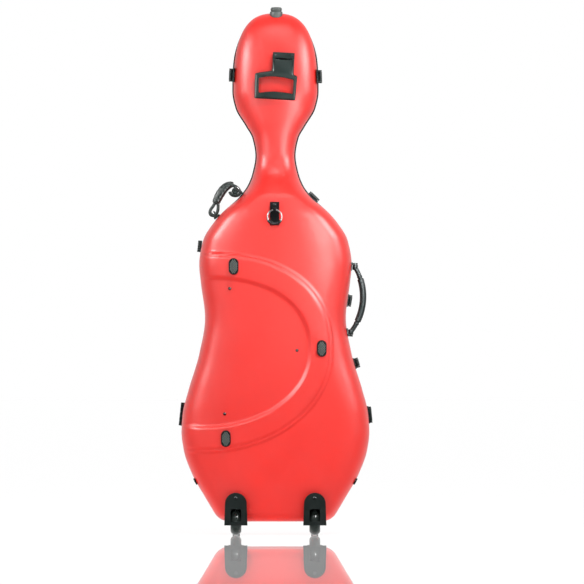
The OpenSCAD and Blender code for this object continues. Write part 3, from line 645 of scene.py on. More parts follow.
def wheel_rooms(gap):
    """Two drums that clear the wheels and their housings."""
    parts = []
    for x in (-WHEEL_X, WHEEL_X):
        r, w = WHEEL_R + 6 + gap, WHEEL_W / 2 + 6 + gap
        v, f = lathe([(0, -w), (r, -w), (r, w), (0, w)], 72)
        m = np.array(Matrix.Translation((x, -WHEEL_Y, WHEEL_R)) @ rotation("Y", 90))
        parts.append((v @ m[:3, :3].T + m[:3, 3], f))
    return joined(parts)


def cut(obj, shape):
    """Cuts a closed shape out of a mesh, for good."""
    verts, faces = shape
    tool = add_mesh("cut_tool", metres(verts), faces)
    mod = obj.modifiers.new("cut", "BOOLEAN")
    mod.operation = "DIFFERENCE"
    mod.solver = "EXACT"
    mod.object = tool
    apply_modifiers(obj)
    bpy.data.objects.remove(tool)


def seam_path(n=520):
    """The case's outline in the seam plane, anticlockwise seen from behind, with outward normals."""
    a = np.linspace(0, 1, 4000)
    z = np.concatenate([BOTTOM_Z + 30 * a[:-1] ** 2, BOTTOM_Z + 30 + (HEAD_Z - BOTTOM_Z - 30) * a[:-1],
                        HEAD_Z + (CROWN_Z - HEAD_Z) * np.sin(a * math.pi / 2) ** 0.74])
    x = half_width(z)
    right = np.stack([x, z], 1)
    left = right[::-1] * [-1, 1]
    bottom = np.stack([np.linspace(-x[0], x[0], 60)[1:-1], np.full(58, float(BOTTOM_Z))], 1)
    loop = np.vstack([right, left[1:], bottom])
    ring = np.vstack([loop, loop[:1]])
    along = np.concatenate([[0], np.cumsum(np.linalg.norm(np.diff(ring, axis=0), axis=1))])
    even = np.linspace(0, along[-1], n + 1)[:-1]
    pts = np.stack([np.interp(even, along, ring[:, k]) for k in range(2)], 1)
    tangent = headings(pts, closed=True)
    return pts, np.stack([tangent[:, 1], -tangent[:, 0]], 1)


def rim_proud(z):
    return 3.6 * smooth((z - 835) / 50) * smooth((1310 - z) / 80) - 0.5


def seam_ring(section, proud=0):
    """A band along the seam. section holds (depth from the outer edge, y) pairs."""
    pts, out = seam_path()
    rings = []
    for p, n in zip(pts, out):
        edge = float(rim_proud(p[1])) + proud
        rings.append([(p[0] + n[0] * (edge - d), y, p[1] + n[1] * (edge - d)) for d, y in section])
    return np.array(rings).reshape(-1, 3), hoop_faces(len(rings), len(section), flip=True)


def rim_section(y1, y2, width, bead):
    """A rim's section with eased outer corners and a shallow groove along its middle."""
    m = (y1 + y2) / 2
    return [(width, y1), (bead, y1), (0.3 * bead, y1 + 0.3 * bead), (0, y1 + bead), (0, m - 1.2),
            (0.5, m - 0.5), (0.5, m + 0.5), (0, m + 1.2), (0, y2 - bead), (0.3 * bead, y2 - 0.3 * bead),
            (bead, y2), (width, y2)]


def make_shells():
    back = shell("back_shell_moulding", BACK, -1, BACK_FACE, True)
    cut(back, wheel_rooms(0.4))
    front = shell("lid_shell_moulding", LID, 1, LID_FACE, False)
    for obj, body, node in ((back, "case", "back_shell"), (front, "lid", "lid_shell")):
        obj.data.shade_smooth()
        obj.data.set_sharp_from_angle(angle=math.radians(50))
        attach(obj, body)
        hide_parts(node)
    piece("back_rim_profile", seam_ring(rim_section(-BACK_FACE, -GASKET_Y - 0.1, 7, 0.9)), "rim",
          "case", ["back_rim"])
    piece("lid_rim_profile", seam_ring(rim_section(0.2, LID_FACE, 7, 0.9)), "rim", "lid",
          ["lid_rim"])
    tube = [(6.5, -1.4), (5.6, -1.4), (1.9, -1.4), (1.0, -1.1), (1.0, -0.4), (1.9, -0.1), (5.6, -0.1),
            (6.5, -0.1)]
    piece("gasket_seal", seam_ring(tube, proud=-1), "gasket", "case",
          ["rim_gasket"])


WELT_INSET = 11.5


def make_linings():
    for name, profile, side, face, body, node, cut_out in (
            ("back_plush_lining", BACK, -1, RIM_Y + 1.8, "case", "back_lining", True),
            ("lid_plush_lining", LID, 1, RIM_Y + 0.6, "lid", "lid_lining", False)):
        verts, faces, _ = half_shell(profile, side, WALL + 0.6, WALL + LINING, face, 90, 12, 12)
        obj = add_mesh(name, metres(verts), faces, sharp=None)
        merge_close(obj)
        if cut_out:
            cut(obj, wheel_rooms(1.2))
        obj.data.materials.append(MAT["plush"])
        obj.data.shade_smooth()
        obj.data.set_sharp_from_angle(angle=math.radians(55))
        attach(obj, body)
        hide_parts(node)
        # a padded welt hides the cloth's edge just inside the rim
        pts, out = seam_path(360)
        x, z = (pts - out * WELT_INSET).T
        path = np.stack([x, np.full(len(x), side * (face + 1.5)), z], 1)
        welt = sweep(path, oval_section(2.6, 2.6, 10), up=(0, 1, 0), closed=True)
        piece(name.replace("lining", "welt"), welt, "plush", body)


make_shells()
make_linings()


# ---- Bumper, pads, plugs and the head handle ----

def place(x, y, z, *turns):
    m = Matrix.Translation((x, y, z))
    for t in turns:
        m = m @ t
    return m


def moved(shape, matrix):
    verts, faces = shape
    m = np.array(matrix)
    return np.asarray(verts, float) @ m[:3, :3].T + m[:3, 3], faces


def copies(shape, places):
    return joined([moved(shape, m) for m in places])


def stadium(w, h, n=16):
    a = np.linspace(0, math.pi, n + 1)
    r, d = w / 2, (h - w) / 2
    top = np.stack([r * np.cos(a), d + r * np.sin(a)], 1)
    return np.vstack([top, -top])


def smooth_path(points, per=8, closed=False):
    """A Catmull-Rom curve through points, of any dimension."""
    p = np.asarray(points, float)
    n = len(p)
    made = []
    for i in range(n if closed else n - 1):
        if closed:
            a, b, c, d = p[i - 1], p[i], p[(i + 1) % n], p[(i + 2) % n]
        else:
            b, c = p[i], p[i + 1]
            a = p[i - 1] if i else 2 * b - c
            d = p[i + 2] if i + 2 < n else 2 * c - b
        for k in range(per):
            t = k / per
            made.append(0.5 * (2 * b + (c - a) * t + (2 * a - 5 * b + 4 * c - d) * t * t
                               + (3 * b - a - 3 * c + d) * t ** 3))
    if not closed:
        made.append(p[-1])
    return np.array(made)


BUMPER_AT = (2, -22, CROWN_Z - 12)
BUMPER = [(0, 0), (14, 0), (15.8, 0.6), (16.4, 1.8), (16.4, 14.2), (16.1, 15.4), (15.2, 16.2), (13.9, 16.6),
          (13.4, 17.3), (13.5, 18.0), (14.3, 18.5), (14.7, 19.3), (14.7, 22.8), (14.3, 24.6), (13.2, 26.2),
          (11.2, 27.3), (8, 27.7), (7.4, 27.3), (6.8, 27.3), (6.2, 27.8), (0, 28)]
PADS = [(-108, 695), (120, 483), (-128, 250)]
PLUGS = [(-118, 638), (56, 478), (-131, 314)]


def pad_shape():
    """An oval rubber pad: a rounded rim round a recess full of small pyramids."""
    rim = [(0, 0), (0, 4.2), (0.35, 5.0), (1.1, 5.5), (2.0, 5.5), (2.6, 5.2), (2.9, 4.5), (2.95, 4.3)]
    parts = []
    pitch, low, high = 4.3, 4.0, 5.4
    half_w, half_h = pitch * 0.46, pitch * 0.69
    for i in range(-12, 13):
        for j in range(-12, 13):
            x, y = (i - j) * pitch / 2, (i + j) * pitch / 2 * 1.5
            reach = math.hypot(x, max(abs(y) - 9, 0))
            if reach > 8.6:
                continue
            base = [(x - half_w, y), (x, y - half_h), (x + half_w, y), (x, y + half_h)]
            tip = [(x + (px - x) * 0.3, y + (py - y) * 0.3) for px, py in base]
            parts.append(loft([[(*p, low) for p in base], [(*p, high) for p in tip]]))
    return slab(stadium(25, 43), steps=rim), joined(parts)


def make_back_trim():
    piece("crown_bumper_moulding", lathe(BUMPER, 72), "bumper", "case",
          ["crown_bumper"], place(*BUMPER_AT), sharp=50)
    rim, grip = pad_shape()
    at = [place(x, -BACK_DEPTH - BAND_H + 1.5, z, FACING_BACK) for x, z in PADS]
    piece("back_pads_rims", copies(rim, at), "pad", "case",
          ["back_pads"], sharp=35)
    # the pyramids take the lighter grey-green material, a painted highlight on their tips
    piece("back_pads_grip_painted_highlight", copies(grip, at), "grip", "case", sharp=20)
    dome = lathe([(0, 0), (4, 0), (4, 3.3), (3.8, 3.8), (3.3, 3.9), (3.2, 4.6), (2.8, 5.6), (2.0, 6.2),
                  (1.0, 6.5), (0, 6.6)], 40)
    at = [place(x, -BACK_DEPTH + 3, z, FACING_BACK) for x, z in PLUGS]
    piece("back_plugs_domed", copies(dome, at), "gloss", "case",
          ["back_plugs"])


HEAD_HANDLE = place(21, -97, 1228.6, rotation("Y", 3))
LOOP = [(-28, 4.8), (28, 4.8), (28, -35), (38, -39), (36, -102), (-70.5, -101.5), (-72, -37), (-60, -34),
        (-47, -31.5), (-28, -28)]
WINDOW = [(29, -85.5), (6, -82.4), (-19, -81.6), (-42, -83.6), (-59.5, -87), (-61.5, -48.5), (-42, -44.2),
          (-21, -42.8), (4, -44.4), (28, -49)]


def box_shape(x, y, z, w, d, h):
    ring = [(x, y), (x + w, y), (x + w, y + d), (x, y + d)]
    return loft([[(a, b, z) for a, b in ring], [(a, b, z + h) for a, b in ring]])


def make_head_handle():
    outer = filleted(LOOP, [1.5, 1.5, 4, 4, 3, 3, 5, 12, 12, 3])
    window = filleted(WINDOW, [3, 30, 30, 30, 3, 3, 30, 30, 30, 3])
    edge = [(0.8, 0), (0, 0.8), (0, 4.6), (0.5, 5.2), (4.4, 8.7), (5.2, 9)]
    inner = [(0.6, 0), (0, 0.6), (0, 8.0), (0.5, 8.8), (1.2, 9)]
    verts, faces = slab(outer, [window], edge, inner)
    verts = metres(verts, HEAD_HANDLE @ place(0, 4, 0, FACING_BACK))
    loop = add_mesh("head_handle_moulding", verts, faces, sharp=30)
    for x in (-15, 15):
        for shape in (box_shape(x - 3.4, 0, -4.6, 6.8, 12, 12), box_shape(x - 3.4, -4.4, 0, 6.8, 12.4, 8)):
            cut(loop, moved(shape, HEAD_HANDLE))
    finished(loop, "handle", "head_handle", ["head_handle_loop"])
    cad("head_handle_base", "handle", bevel=1.0, segments=3)
    cad("head_handle_pin", "steel", bevel=0)
    head = screw_head(2.8, 1.0)
    at = [HEAD_HANDLE @ place(x, -5, 14, FACING_BACK) for x in (-22, 22)]
    piece("head_handle_screw_heads", copies(head, at), "screw", "case",
          ["head_handle_screws"])


# ---- Strap lug and ring ----

LUG_Z, RING_Y, RING_R = 841.5, -BACK_DEPTH - 13, 18.5


def upright_arc(radius, a, centre):
    """Points of a circle in a plane of constant y, at angles in radians from +X towards +Z."""
    return np.stack([radius * np.cos(a), 0 * a, radius * np.sin(a)], 1) + centre


def make_lug():
    cad("strap_lug", "gloss", bevel=1.1, segments=3)
    centre = (-2, RING_Y, LUG_Z - RING_R)
    ring = upright_arc(RING_R, np.linspace(0, 2 * math.pi, 97)[:-1], centre)
    piece("strap_ring_wire", sweep(ring, oval_section(2, 2, 20), closed=True), "bright", "strap_ring",
          ["strap_ring"])
    path = upright_arc(RING_R, np.radians(np.linspace(-155, -25, 41)), centre)
    ends = 1 - 0.28 * np.clip(1 - np.minimum(np.arange(41), np.arange(40, -1, -1)) / 3, 0, 1) ** 2
    piece("strap_ring_moulded_sleeve", sweep(path, oval_section(3.6, 3.6, 24), scales=ends), "gloss",
          "strap_ring", ["strap_ring_sleeve"])
    dome = lathe([(0, -0.6), (3.6, -0.6), (3.6, 0.3), (3.3, 0.9), (2.6, 1.4), (1.6, 1.7), (0.8, 1.8),
                  (0, 1.8)], 40)
    at = [place(x, -BACK_DEPTH - 5.5, z, FACING_BACK) for x, z in ((-2, 855.5), (-9.5, 808), (5.5, 808))]
    piece("strap_lug_rivets", copies(dome, at), "gloss", "case",
          ["strap_lug_screws"])


# ---- Carrying handles ----

HANDLE_Y = -60
SIDE_Z, SIDE_SPAN, SIDE_RISE = 609, 168, 26  # middle, length between the ends, height of the arch
COLLAR = (23.2, 25.8)  # degrees along the arch
COLLAR_SCALES = (0.9, 0.97, 1, 1, 0.95, 0.9, 0.88, 0.86, 0.85)


def local_arc(radius, offset, a1, a2, n):
    """Points of an arched bar in its local X-Z plane, its middle at x = offset."""
    return upright_arc(radius, np.radians(np.linspace(a1, a2, n)), (offset - radius, 0, 0))


def make_side_handle():
    half = SIDE_SPAN / 2
    top, low = float(half_width(SIDE_Z + half)), float(half_width(SIDE_Z - half))
    lean = rotation("Y", math.degrees(math.atan((top - low) / SIDE_SPAN)))
    at = place((top + low) / 2 + 9, HANDLE_Y, SIDE_Z, lean)
    r = (half ** 2 + SIDE_RISE ** 2) / (2 * SIDE_RISE)
    end = math.degrees(math.asin(half / r))
    core = sweep(local_arc(r, SIDE_RISE, -end, end, 61), oval_section(6, 6, 28))
    knob = lathe([(0, -7), (5.6, -7), (6.7, -6.2), (7, -5), (7, 5), (6.7, 6.2), (5.6, 7), (0, 7)], 40)
    knobs = [moved(knob, place(0, 0, s * half)) for s in (-1, 1)]
    collars = []
    for s in (-1, 1):
        path = local_arc(r, SIDE_RISE, s * COLLAR[0], s * COLLAR[1], len(COLLAR_SCALES))
        collars.append(sweep(path, oval_section(7, 7, 28), scales=COLLAR_SCALES))
    piece("side_handle_bar", joined([core] + knobs + collars), "rubber", "side_handle",
          ["side_handle_core"], at)
    n = 121
    u = np.linspace(-1, 1, n)
    edge = 1 - np.clip((np.abs(u) - 0.955) / 0.045, 0, 1) ** 2.2 * 0.24
    rings = sum(0.05 * np.exp(-((np.abs(u) - c) / 0.011) ** 2) for c in (0.80, 0.86, 0.92))
    path = local_arc(r, SIDE_RISE, -22, 22, n)
    sleeve = sweep(path, oval_section(8.5, 8.5, 36, 2.3), scales=edge - rings)
    piece("side_handle_sleeve", sleeve, "rubber", "side_handle", ["side_handle_grip"], at)
    cad("side_handle_brackets", "nylon", bevel=0.9, segments=3)
    cad("side_handle_pins", "steel", bevel=0)


# The shoulder handle in the seam frame, as (x, z) points: a padded grip between two strap loops.
GRIP = [(-155.5, 857, 8.8), (-152, 867, 10.4), (-145, 881, 11.2), (-135.5, 895, 11), (-126, 903.5, 10),
        (-116.5, 907.5, 8.4), (-108.5, 906.5, 7)]
LOWER_LOOP = [(-155.5, 860), (-162, 851), (-167.6, 843), (-169.8, 835.6), (-168, 829.6), (-162, 827),
              (-155.4, 829.4), (-150.6, 836.4), (-148.6, 847), (-149.4, 857)]
UPPER_CURL = [(-114, 905.5), (-105, 903.2), (-97, 897.4), (-92.4, 889.6), (-93.4, 883), (-99, 879.4),
              (-106, 878.8), (-112.6, 880.8), (-116.8, 885.4), (-117.4, 889.5)]


def upright(points, y):
    """Rows that begin with (x, z), as points at depth y."""
    return np.stack([points[:, 0], np.full(len(points), y), points[:, 1]], 1)


def ribbon(points, thick, wide, closed):
    """A strap whose edge-on outline follows (x, z) points at the handles' depth."""
    path = upright(smooth_path(points, 8, closed), HANDLE_Y)
    return sweep(path, oval_section(thick / 2, wide / 2, 28, 5), closed=closed)


def make_shoulder_handle():
    flat = smooth_path(GRIP, 10)
    n = len(flat)
    end = np.minimum(np.arange(n), np.arange(n - 1, -1, -1)) / 4
    close = np.sqrt(np.clip(1 - (1 - np.clip(end, 0, 1)) ** 2, 0.16, 1))
    plump = 1 + 0.018 * np.sin(np.arange(n) * 0.9)
    scales = np.stack([flat[:, 2] * close * plump, (flat[:, 2] * 0.35 + 6.4) * close * plump], 1)
    grip = sweep(upright(flat, HANDLE_Y), oval_section(1, 1, 40, 2.4), scales=scales)
    # the seam runs along the grip's outside, short of its closed ends
    inner = flat[4:n - 4]
    ahead = headings(inner[:, :2], closed=False)
    reach = inner[:, 2] * plump[4:n - 4] - 0.1
    off = inner[:, :2] + np.stack([ahead[:, 1], -ahead[:, 0]], 1) * reach[:, None]
    seam = sweep(upright(off, HANDLE_Y), oval_section(0.9, 0.9, 8))
    obj = piece("shoulder_handle_padded_grip", grip, "leather", "shoulder_handle",
                ["shoulder_handle_grip"])
    piece("shoulder_handle_seam", seam, "leather", "shoulder_handle")
    straps = joined([ribbon(LOWER_LOOP, 8.2, 14, True), ribbon(UPPER_CURL, 8.6, 14, False)])
    piece("shoulder_handle_straps", straps, "leather", "shoulder_handle",
          ["shoulder_handle_core"])
    # a plated buckle bar on the upper strap, and the swivel heads that hold both straps
    flat = smooth_path([(-104.5, 903.4), (-99, 900), (-94.6, 893.6)], 6)
    bar = sweep(upright(flat, HANDLE_Y - 7.2), oval_section(0.9, 2.2, 16, 4))
    piece("shoulder_handle_buckle", bar, "steel", "shoulder_handle")
    clasp = lathe([(0, -4.5), (7.6, -4.5), (8.6, -3.5), (8.6, 3.5), (7.6, 4.5), (3, 4.5), (2.2, 2.5),
                   (0, 2.5)], 40)
    piece("shoulder_handle_clasp", clasp, "nylon", "shoulder_handle",
          matrix=place(-104.6, HANDLE_Y, 891, FACING_BACK))
    axis = rotation("Y", 52)
    head = lathe([(0, -2), (2.6, -2), (3.6, -1), (3.6, 1), (2.6, 2), (0, 2)], 32)
    at = [place(x, HANDLE_Y, z, axis) for x, z in ((-98, 883.2), (-158.6, 835.7))]
    piece("shoulder_handle_swivels", copies(head, at), "screw", "shoulder_handle")
    cad("shoulder_handle_brackets", "nylon", bevel=0.8)
    cad("shoulder_handle_pins", "steel", bevel=0)


make_back_trim()
make_head_handle()
make_lug()
make_side_handle()
make_shoulder_handle()


# ---- Wheels, feet, hinges and latches ----

TREAD_EDGE = [(24, 14), (25.6, 14), (26.6, 13.7), (28.6, 12.5), (30.4, 10.9), (32, 9), (33.3, 6.9),
              (34.3, 4.7), (34.85, 2.4)]
TYRE = [(r, -h) for r, h in TREAD_EDGE] + [(WHEEL_R, 0)] + TREAD_EDGE[::-1]
LATCHES = ("head_left", "head_right", "shoulder", "waist", "flank", "bout")


def ring_lathe(profile, steps=96):
    """A closed profile turned about the local Z axis, with a hole through the middle."""
    a = np.arange(steps) * 2 * math.pi / steps
    rings = [[(r * math.cos(t), r * math.sin(t), h) for r, h in profile] for t in a]
    return np.array(rings).reshape(-1, 3), hoop_faces(steps, len(profile), flip=True)


def make_wheels():
    for side, name in ((-1, "left"), (1, "right")):
        at = place(side * WHEEL_X, -WHEEL_Y, WHEEL_R, rotation("Y", 90))
        body = "wheel_" + name
        piece(body + "_tread", ring_lathe(TYRE), "tyre", body, ["wheel_tyre_" + name], at, sharp=45)
        cad("wheel_hub_" + name, "hub", bevel=0.6)
        cap = lathe([(0, 14.2), (7.4, 14.2), (8.2, 14.9), (8.2, 15.2), (7.4, 15.9), (5.6, 16.2), (5.2, 15.6),
                     (0, 15.6)], 40)
        caps = copies(cap, [rotation("X", turn) for turn in (0, 180)])
        piece(body + "_axle_caps", caps, "hub", body, (), at)
        cad("wheel_housing_" + name, "nylon", bevel=1.5, segments=3)
    cad("wheel_axles", "steel", bevel=0)
    head = screw_head(4.4, 1.8)
    at = [place(s * WHEEL_X, -162, 96, FACING_BACK) for s in (-1, 1)]
    piece("housing_screw_heads", copies(head, at), "screw", "case",
          ["housing_screws"])


def make_hardware():
    cad("front_feet", "pad", bevel=1.5, segments=3)
    cad("strap_anchors", "nylon", bevel=0.8)
    cad("hinge_body_leaves", "nylon", bevel=0.4)
    cad("hinge_lid_leaves", "nylon", bevel=0.4)
    cad("hinge_pins", "steel", bevel=0)
    cad("latch_bases", "nylon", bevel=0.6)
    cad("latch_keepers", "nylon", bevel=0.5)
    cad("latch_pins", "steel", bevel=0)
    for name in LATCHES:
        cad("latch_" + name, "nylon", bevel=0.7)


make_wheels()
make_hardware()


# ---- Padding and fittings inside ----

PAD_FACE, CUSHION = WALL + LINING + 2, 17
NECK_Y, NECK_Z = -12, 986.5


def skin_point(profile, side, z, t, s):
    """The point at fraction s across the arch of the skin t inside the case's form."""
    a = math.radians(180 * s) + math.radians(8 * math.sin(math.radians(720 * s)))
    w, d, p = float(half_width(z, t)), float(depth(profile, z, t)), float(squareness(z))
    c, r = math.cos(a), math.sin(a)
    q = (abs(c) ** p + abs(r) ** p) ** (1 / p)
    return np.array([w * c / q, side * d * r / q, z])


def wall_pad(profile, side, thick, z1, z2, s1, s2, m=22, n=44):
    """A crowned pad on the lining: flat where it rests, swollen inwards, pulled in between its corners."""
    verts = []
    for i in range(m + 1):
        for j in range(n + 1):
            u, v = i / m, j / n
            pull_u, pull_v = 0.035 * (1 - (2 * v - 1) ** 2), 0.05 * (1 - (2 * u - 1) ** 2)
            z = z1 + (z2 - z1) * (pull_u + u * (1 - 2 * pull_u))
            s = s1 + (s2 - s1) * (pull_v * 0.5 + v * (1 - pull_v))
            crown = ((1 - abs(2 * u - 1) ** 3.4) * (1 - abs(2 * v - 1) ** 5)) ** 0.42
            low = skin_point(profile, side, z, PAD_FACE, s)
            high = skin_point(profile, side, z, PAD_FACE + 2 + (thick - 2) * crown, s)
            verts.append((low, high))
    low, high = (np.array([v[k] for v in verts]) for k in (0, 1))
    rows, cols = m + 1, n + 1
    flip = side > 0
    faces = list(map(tuple, grid_faces(rows, cols, 0, flip=flip)))
    faces += list(map(tuple, grid_faces(rows, cols, rows * cols, flip=not flip)))
    rim = list(range(cols)) + [i * cols + cols - 1 for i in range(1, rows)]
    rim += [(rows - 1) * cols + j for j in range(cols - 2, -1, -1)]
    rim += [i * cols for i in range(rows - 2, 0, -1)]
    for k, a in enumerate(rim):
        b = rim[(k + 1) % len(rim)]
        quad = (a, b, rows * cols + b, rows * cols + a)
        faces.append(quad if flip else quad[::-1])
    edge = (low[rim] + high[rim]) / 2
    return (np.vstack([low, high]), faces), edge


def piping(edge, r=1.5):
    """A welt along a closed edge in space."""
    path = smooth_path(edge[::3], 3, closed=True)
    ahead = headings(path, closed=True)
    out = path - path.mean(0)
    out = unit(out - (out * ahead).sum(1)[:, None] * ahead)
    up = np.cross(ahead, out)
    a = np.arange(8) * math.pi / 4
    verts = np.array([path + r * (math.cos(t) * out + math.sin(t) * up) for t in a]).transpose(1, 0, 2)
    return verts.reshape(-1, 3), hoop_faces(len(path), 8)


def puffed(obj, cap=3.0, voxel=0.0045, pressure=4.0, frames=14):
    """Swells a closed pad with the cloth solver, moving no point further than cap (mm)."""
    scene = bpy.context.scene
    mod = obj.modifiers.new("even", "REMESH")
    mod.mode = "VOXEL"
    mod.voxel_size = voxel
    apply_modifiers(obj)
    n = len(obj.data.vertices)
    before = np.empty(n * 3)
    obj.data.vertices.foreach_get("co", before)
    cloth = obj.modifiers.new("cloth", "CLOTH")
    cloth.settings.use_pressure = True
    cloth.settings.uniform_pressure_force = pressure
    cloth.settings.effector_weights.gravity = 0
    cloth.settings.quality = 4
    cloth.collision_settings.use_collision = False
    cloth.point_cache.frame_start, cloth.point_cache.frame_end = 1, frames
    for frame_number in range(1, frames + 1):
        scene.frame_set(frame_number)
    apply_modifiers(obj)
    after = np.empty(n * 3)
    obj.data.vertices.foreach_get("co", after)
    step = (after - before).reshape(-1, 3)
    far = np.linalg.norm(step, axis=1)[:, None]
    step *= np.minimum(1, cap / 1000 / np.maximum(far, 1e-9))
    obj.data.vertices.foreach_set("co", (before.reshape(-1, 3) + step).ravel())
    scene.frame_set(1)
    obj.data.shade_smooth()


def wall_pads(name, node, profile, side, thick, z1, z2, spans, body):
    """One padded piece for all of a node's pads, with its welts as a second piece."""
    pads = [wall_pad(profile, side, thick, z1, z2, a, b) for a, b in spans]
    obj = piece(name, joined([p[0] for p in pads]), "velvet", body, [node], sharp=None)
    puffed(obj)
    piece(name + "_piping", joined([piping(p[1]) for p in pads]), "plush", body)


def end_block():
    """The block that carries the cello's end, with a well for its end pin."""
    outer = filleted([(-65, -112), (65, -112), (65, -16), (-65, -16)], 12, 8)
    a = np.arange(40) * math.pi / 20
    well = np.stack([13.5 * np.cos(a), -50 + 13.5 * np.sin(a)], 1)
    edge = [(5, 0), (2, 1), (0.5, 4), (0, 9), (0, 22), (1, 27), (3.5, 30.5), (8, 32)]
    hole = [(0, 0), (0, 27), (-1, 30), (-4, 32)]
    return moved(slab(outer, [well], edge, hole), place(0, 0, 46))


def neck_strap(radius, a1, a2, n, section):
    """A level band bent round the neck, from angle a1 to a2 in degrees."""
    a = np.radians(np.linspace(a1, a2, n))
    path = np.stack([radius * np.cos(a), NECK_Y + radius * np.sin(a), np.full(n, NECK_Z)], 1)
    return sweep(path, section, up=(0, 0, 1))


def make_inside():
    ends = [(0.03, 0.36), (0.64, 0.97)]
    wall_pads("lower_bout_pads", "lower_bout_cushions", BACK, -1, CUSHION, 175, 330, ends, "case")
    ends = [(0.03, 0.3), (0.7, 0.97)]
    wall_pads("upper_bout_pads", "upper_bout_cushions", BACK, -1, CUSHION, 640, 755, ends, "case")
    wall_pads("neck_cradle_pad", "neck_cradle", BACK, -1, 13, 960, 1012, [(0.06, 0.94)], "case")
    wall_pads("scroll_pad", "scroll_cushion", BACK, -1, 14, 1120, 1275, [(0.2, 0.8)], "case")
    wall_pads("bow_tip_sleeve", "bow_tip_pocket", LID, 1, 16, 845, 935, [(0.25, 0.75)], "lid")
    wall_pads("accessory_bag", "accessory_pouch", LID, 1, 26, 1110, 1255, [(0.24, 0.76)], "lid")
    block = piece("end_block_cushion", end_block(), "velvet", "case", ["end_cushion"], sharp=60)
    # the neck strap is half a ring of webbing with a hook-and-loop tab
    webbing = neck_strap(31.1, 0, 180, 61, oval_section(1.0, 12.5, 24, 6))
    piece("neck_strap_webbing", webbing, "webbing", "case", ["neck_strap"])
    tab = neck_strap(32.6, 62, 100, 17, oval_section(0.6, 11.5, 24, 6))
    piece("neck_strap_tab", tab, "plush", "case")
    # the bag's zip runs across it a third of the way down
    zip_z = 1212
    path = [skin_point(LID, 1, zip_z, PAD_FACE + 24.6, s) for s in np.linspace(0.34, 0.66, 41)]
    tape = sweep(path, oval_section(1.2, 4.5, 16, 4), up=(0, 0, 1))
    piece("accessory_bag_zip", tape, "tape", "lid")
    for side in ("left", "right"):
        cad("bow_spinner_" + side, "nylon", bevel=0.8)
    cad("bow_spinner_studs", "bright", bevel=0)


make_inside()


# ---- Studio ----

WHITE = (1, 1, 1, 1)


def make_floor():
    """A pale polished floor: white, and more of a mirror the lower it is looked at."""
    mat = bpy.data.materials.new("polished_floor")
    mat.use_nodes = True
    tree, links = mat.node_tree, mat.node_tree.links
    tree.nodes.clear()
    out = add_node(tree, "ShaderNodeOutputMaterial")
    mix = add_node(tree, "ShaderNodeMixShader")
    white = add_node(tree, "ShaderNodeBsdfPrincipled", [
        ("Base Color", (0.62, 0.62, 0.62, 1)), ("Roughness", 0.6), ("Specular IOR Level", 0.0),
        ("Emission Color", WHITE), ("Emission Strength", 0.64)])
    gloss = add_node(tree, "ShaderNodeBsdfGlossy", [("Roughness", 0.01), ("Color", WHITE)])
    fresnel = add_node(tree, "ShaderNodeFresnel", [("IOR", 1.45)])
    mirror = add_node(tree, "ShaderNodeMath", [(1, 0.97)], operation="MULTIPLY", use_clamp=True)
    links.new(fresnel.outputs["Fac"], mirror.inputs[0])
    links.new(mirror.outputs[0], mix.inputs["Fac"])
    links.new(white.outputs[0], mix.inputs[1])
    links.new(gloss.outputs[0], mix.inputs[2])
    links.new(mix.outputs[0], out.inputs["Surface"])
    bpy.ops.mesh.primitive_circle_add(vertices=96, radius=30, fill_type="NGON", location=(0, 0, 0))
    floor = bpy.context.object
    floor.name = "studio_floor"
    floor.data.materials.append(mat)
    floor.visible_glossy = False


def softbox(name, at, aim, width, height, power, diffuse=True, glossy=True):
    light = bpy.data.lights.new(name, "AREA")
    light.shape = "RECTANGLE"
    light.size, light.size_y = width, height
    light.energy = power
    obj = new_object(name, light)
    obj.location = at
    obj.rotation_euler = (Vector(aim) - Vector(at)).to_track_quat("-Z", "Y").to_euler()
    obj.visible_camera = False
    obj.visible_diffuse = diffuse
    obj.visible_glossy = glossy


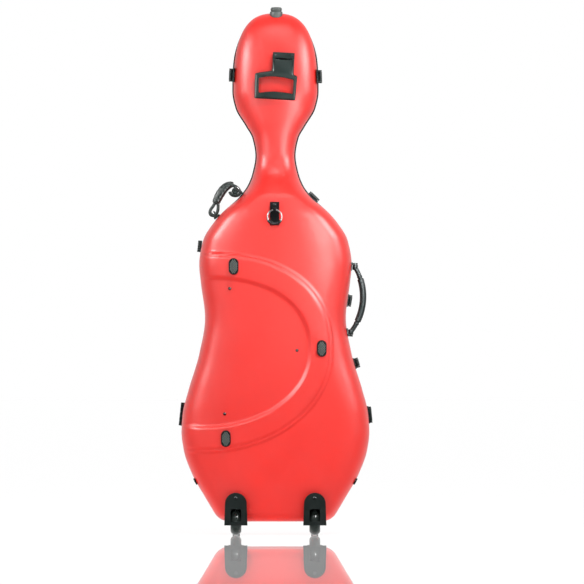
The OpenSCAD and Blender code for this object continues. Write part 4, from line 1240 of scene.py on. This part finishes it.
def make_world():
    """White for the eye, and in the room a bright wall behind the case and a dimmer one before it."""
    world = bpy.data.worlds.new("studio")
    bpy.context.scene.world = world
    world.use_nodes = True
    tree, links = world.node_tree, world.node_tree.links
    tree.nodes.clear()
    out = add_node(tree, "ShaderNodeOutputWorld")
    coords = add_node(tree, "ShaderNodeTexCoord")
    split = add_node(tree, "ShaderNodeSeparateXYZ")
    behind = add_node(tree, "ShaderNodeMapRange", [
        ("From Min", -0.35), ("From Max", 0.45), ("To Min", 0.06), ("To Max", 1.0)],
        interpolation_type="SMOOTHSTEP")
    room = add_node(tree, "ShaderNodeBackground", [("Color", WHITE)])
    white = add_node(tree, "ShaderNodeBackground", [("Color", WHITE)])
    eye = add_node(tree, "ShaderNodeLightPath")
    mix = add_node(tree, "ShaderNodeMixShader")
    links.new(coords.outputs["Generated"], split.inputs[0])
    links.new(split.outputs["Y"], behind.inputs["Value"])
    links.new(behind.outputs[0], room.inputs["Strength"])
    links.new(eye.outputs["Is Camera Ray"], mix.inputs[0])
    links.new(room.outputs[0], mix.inputs[1])
    links.new(white.outputs[0], mix.inputs[2])
    links.new(mix.outputs[0], out.inputs[0])


VIEW_MM = 1518.4  # across the picture, at the case
CAMERA_AWAY = 24.0


def make_camera():
    """A long lens, level with the middle of the frame, facing the back shell."""
    cam = bpy.data.cameras.new("camera")
    cam.sensor_width = 36
    cam.lens = cam.sensor_width * CAMERA_AWAY * 1000 / VIEW_MM
    cam.clip_end = 200
    obj = new_object("camera", cam)
    obj.location = (0.043, SEAM_Y / 1000 - CAMERA_AWAY, 0.629)
    obj.rotation_euler = (math.pi / 2, 0, 0)
    bpy.context.scene.camera = obj


make_floor()
make_world()
make_camera()
softbox("key", (0.9, -2.1, 3.3), (0.0, 0, 0.7), 1.1, 0.9, 96, glossy=False)
softbox("fill", (-1.6, -3.6, 1.2), (0, 0, 0.6), 1.6, 1.6, 34, glossy=False)
softbox("sheen_right", (0.37, -0.66, 0.86), (0.16, 0, 0.72), 0.36, 0.46, 13, diffuse=False)
softbox("sheen_left", (-0.38, -0.62, 0.95), (-0.15, 0, 0.8), 0.3, 0.3, 2.6, diffuse=False)
softbox("glow_right", (2.7, -1.5, 2.1), (0.1, 0, 1.0), 1.0, 1.0, 150, diffuse=False)
softbox("glow_left", (-2.7, -1.5, 2.1), (-0.1, 0, 1.0), 1.0, 1.0, 150, diffuse=False)
softbox("glow_top", (0.1, -1.5, 3.2), (0.0, 0, 0.6), 1.4, 0.5, 45, diffuse=False)
softbox("glint_right", (0.9, -2.9, 2.6), (0.0, 0, 0.2), 0.22, 0.3, 14, diffuse=False)
softbox("glint_left", (-0.9, -2.9, 2.6), (0.0, 0, 0.2), 0.22, 0.3, 10, diffuse=False)
bpy.context.scene.view_settings.view_transform = "Standard"
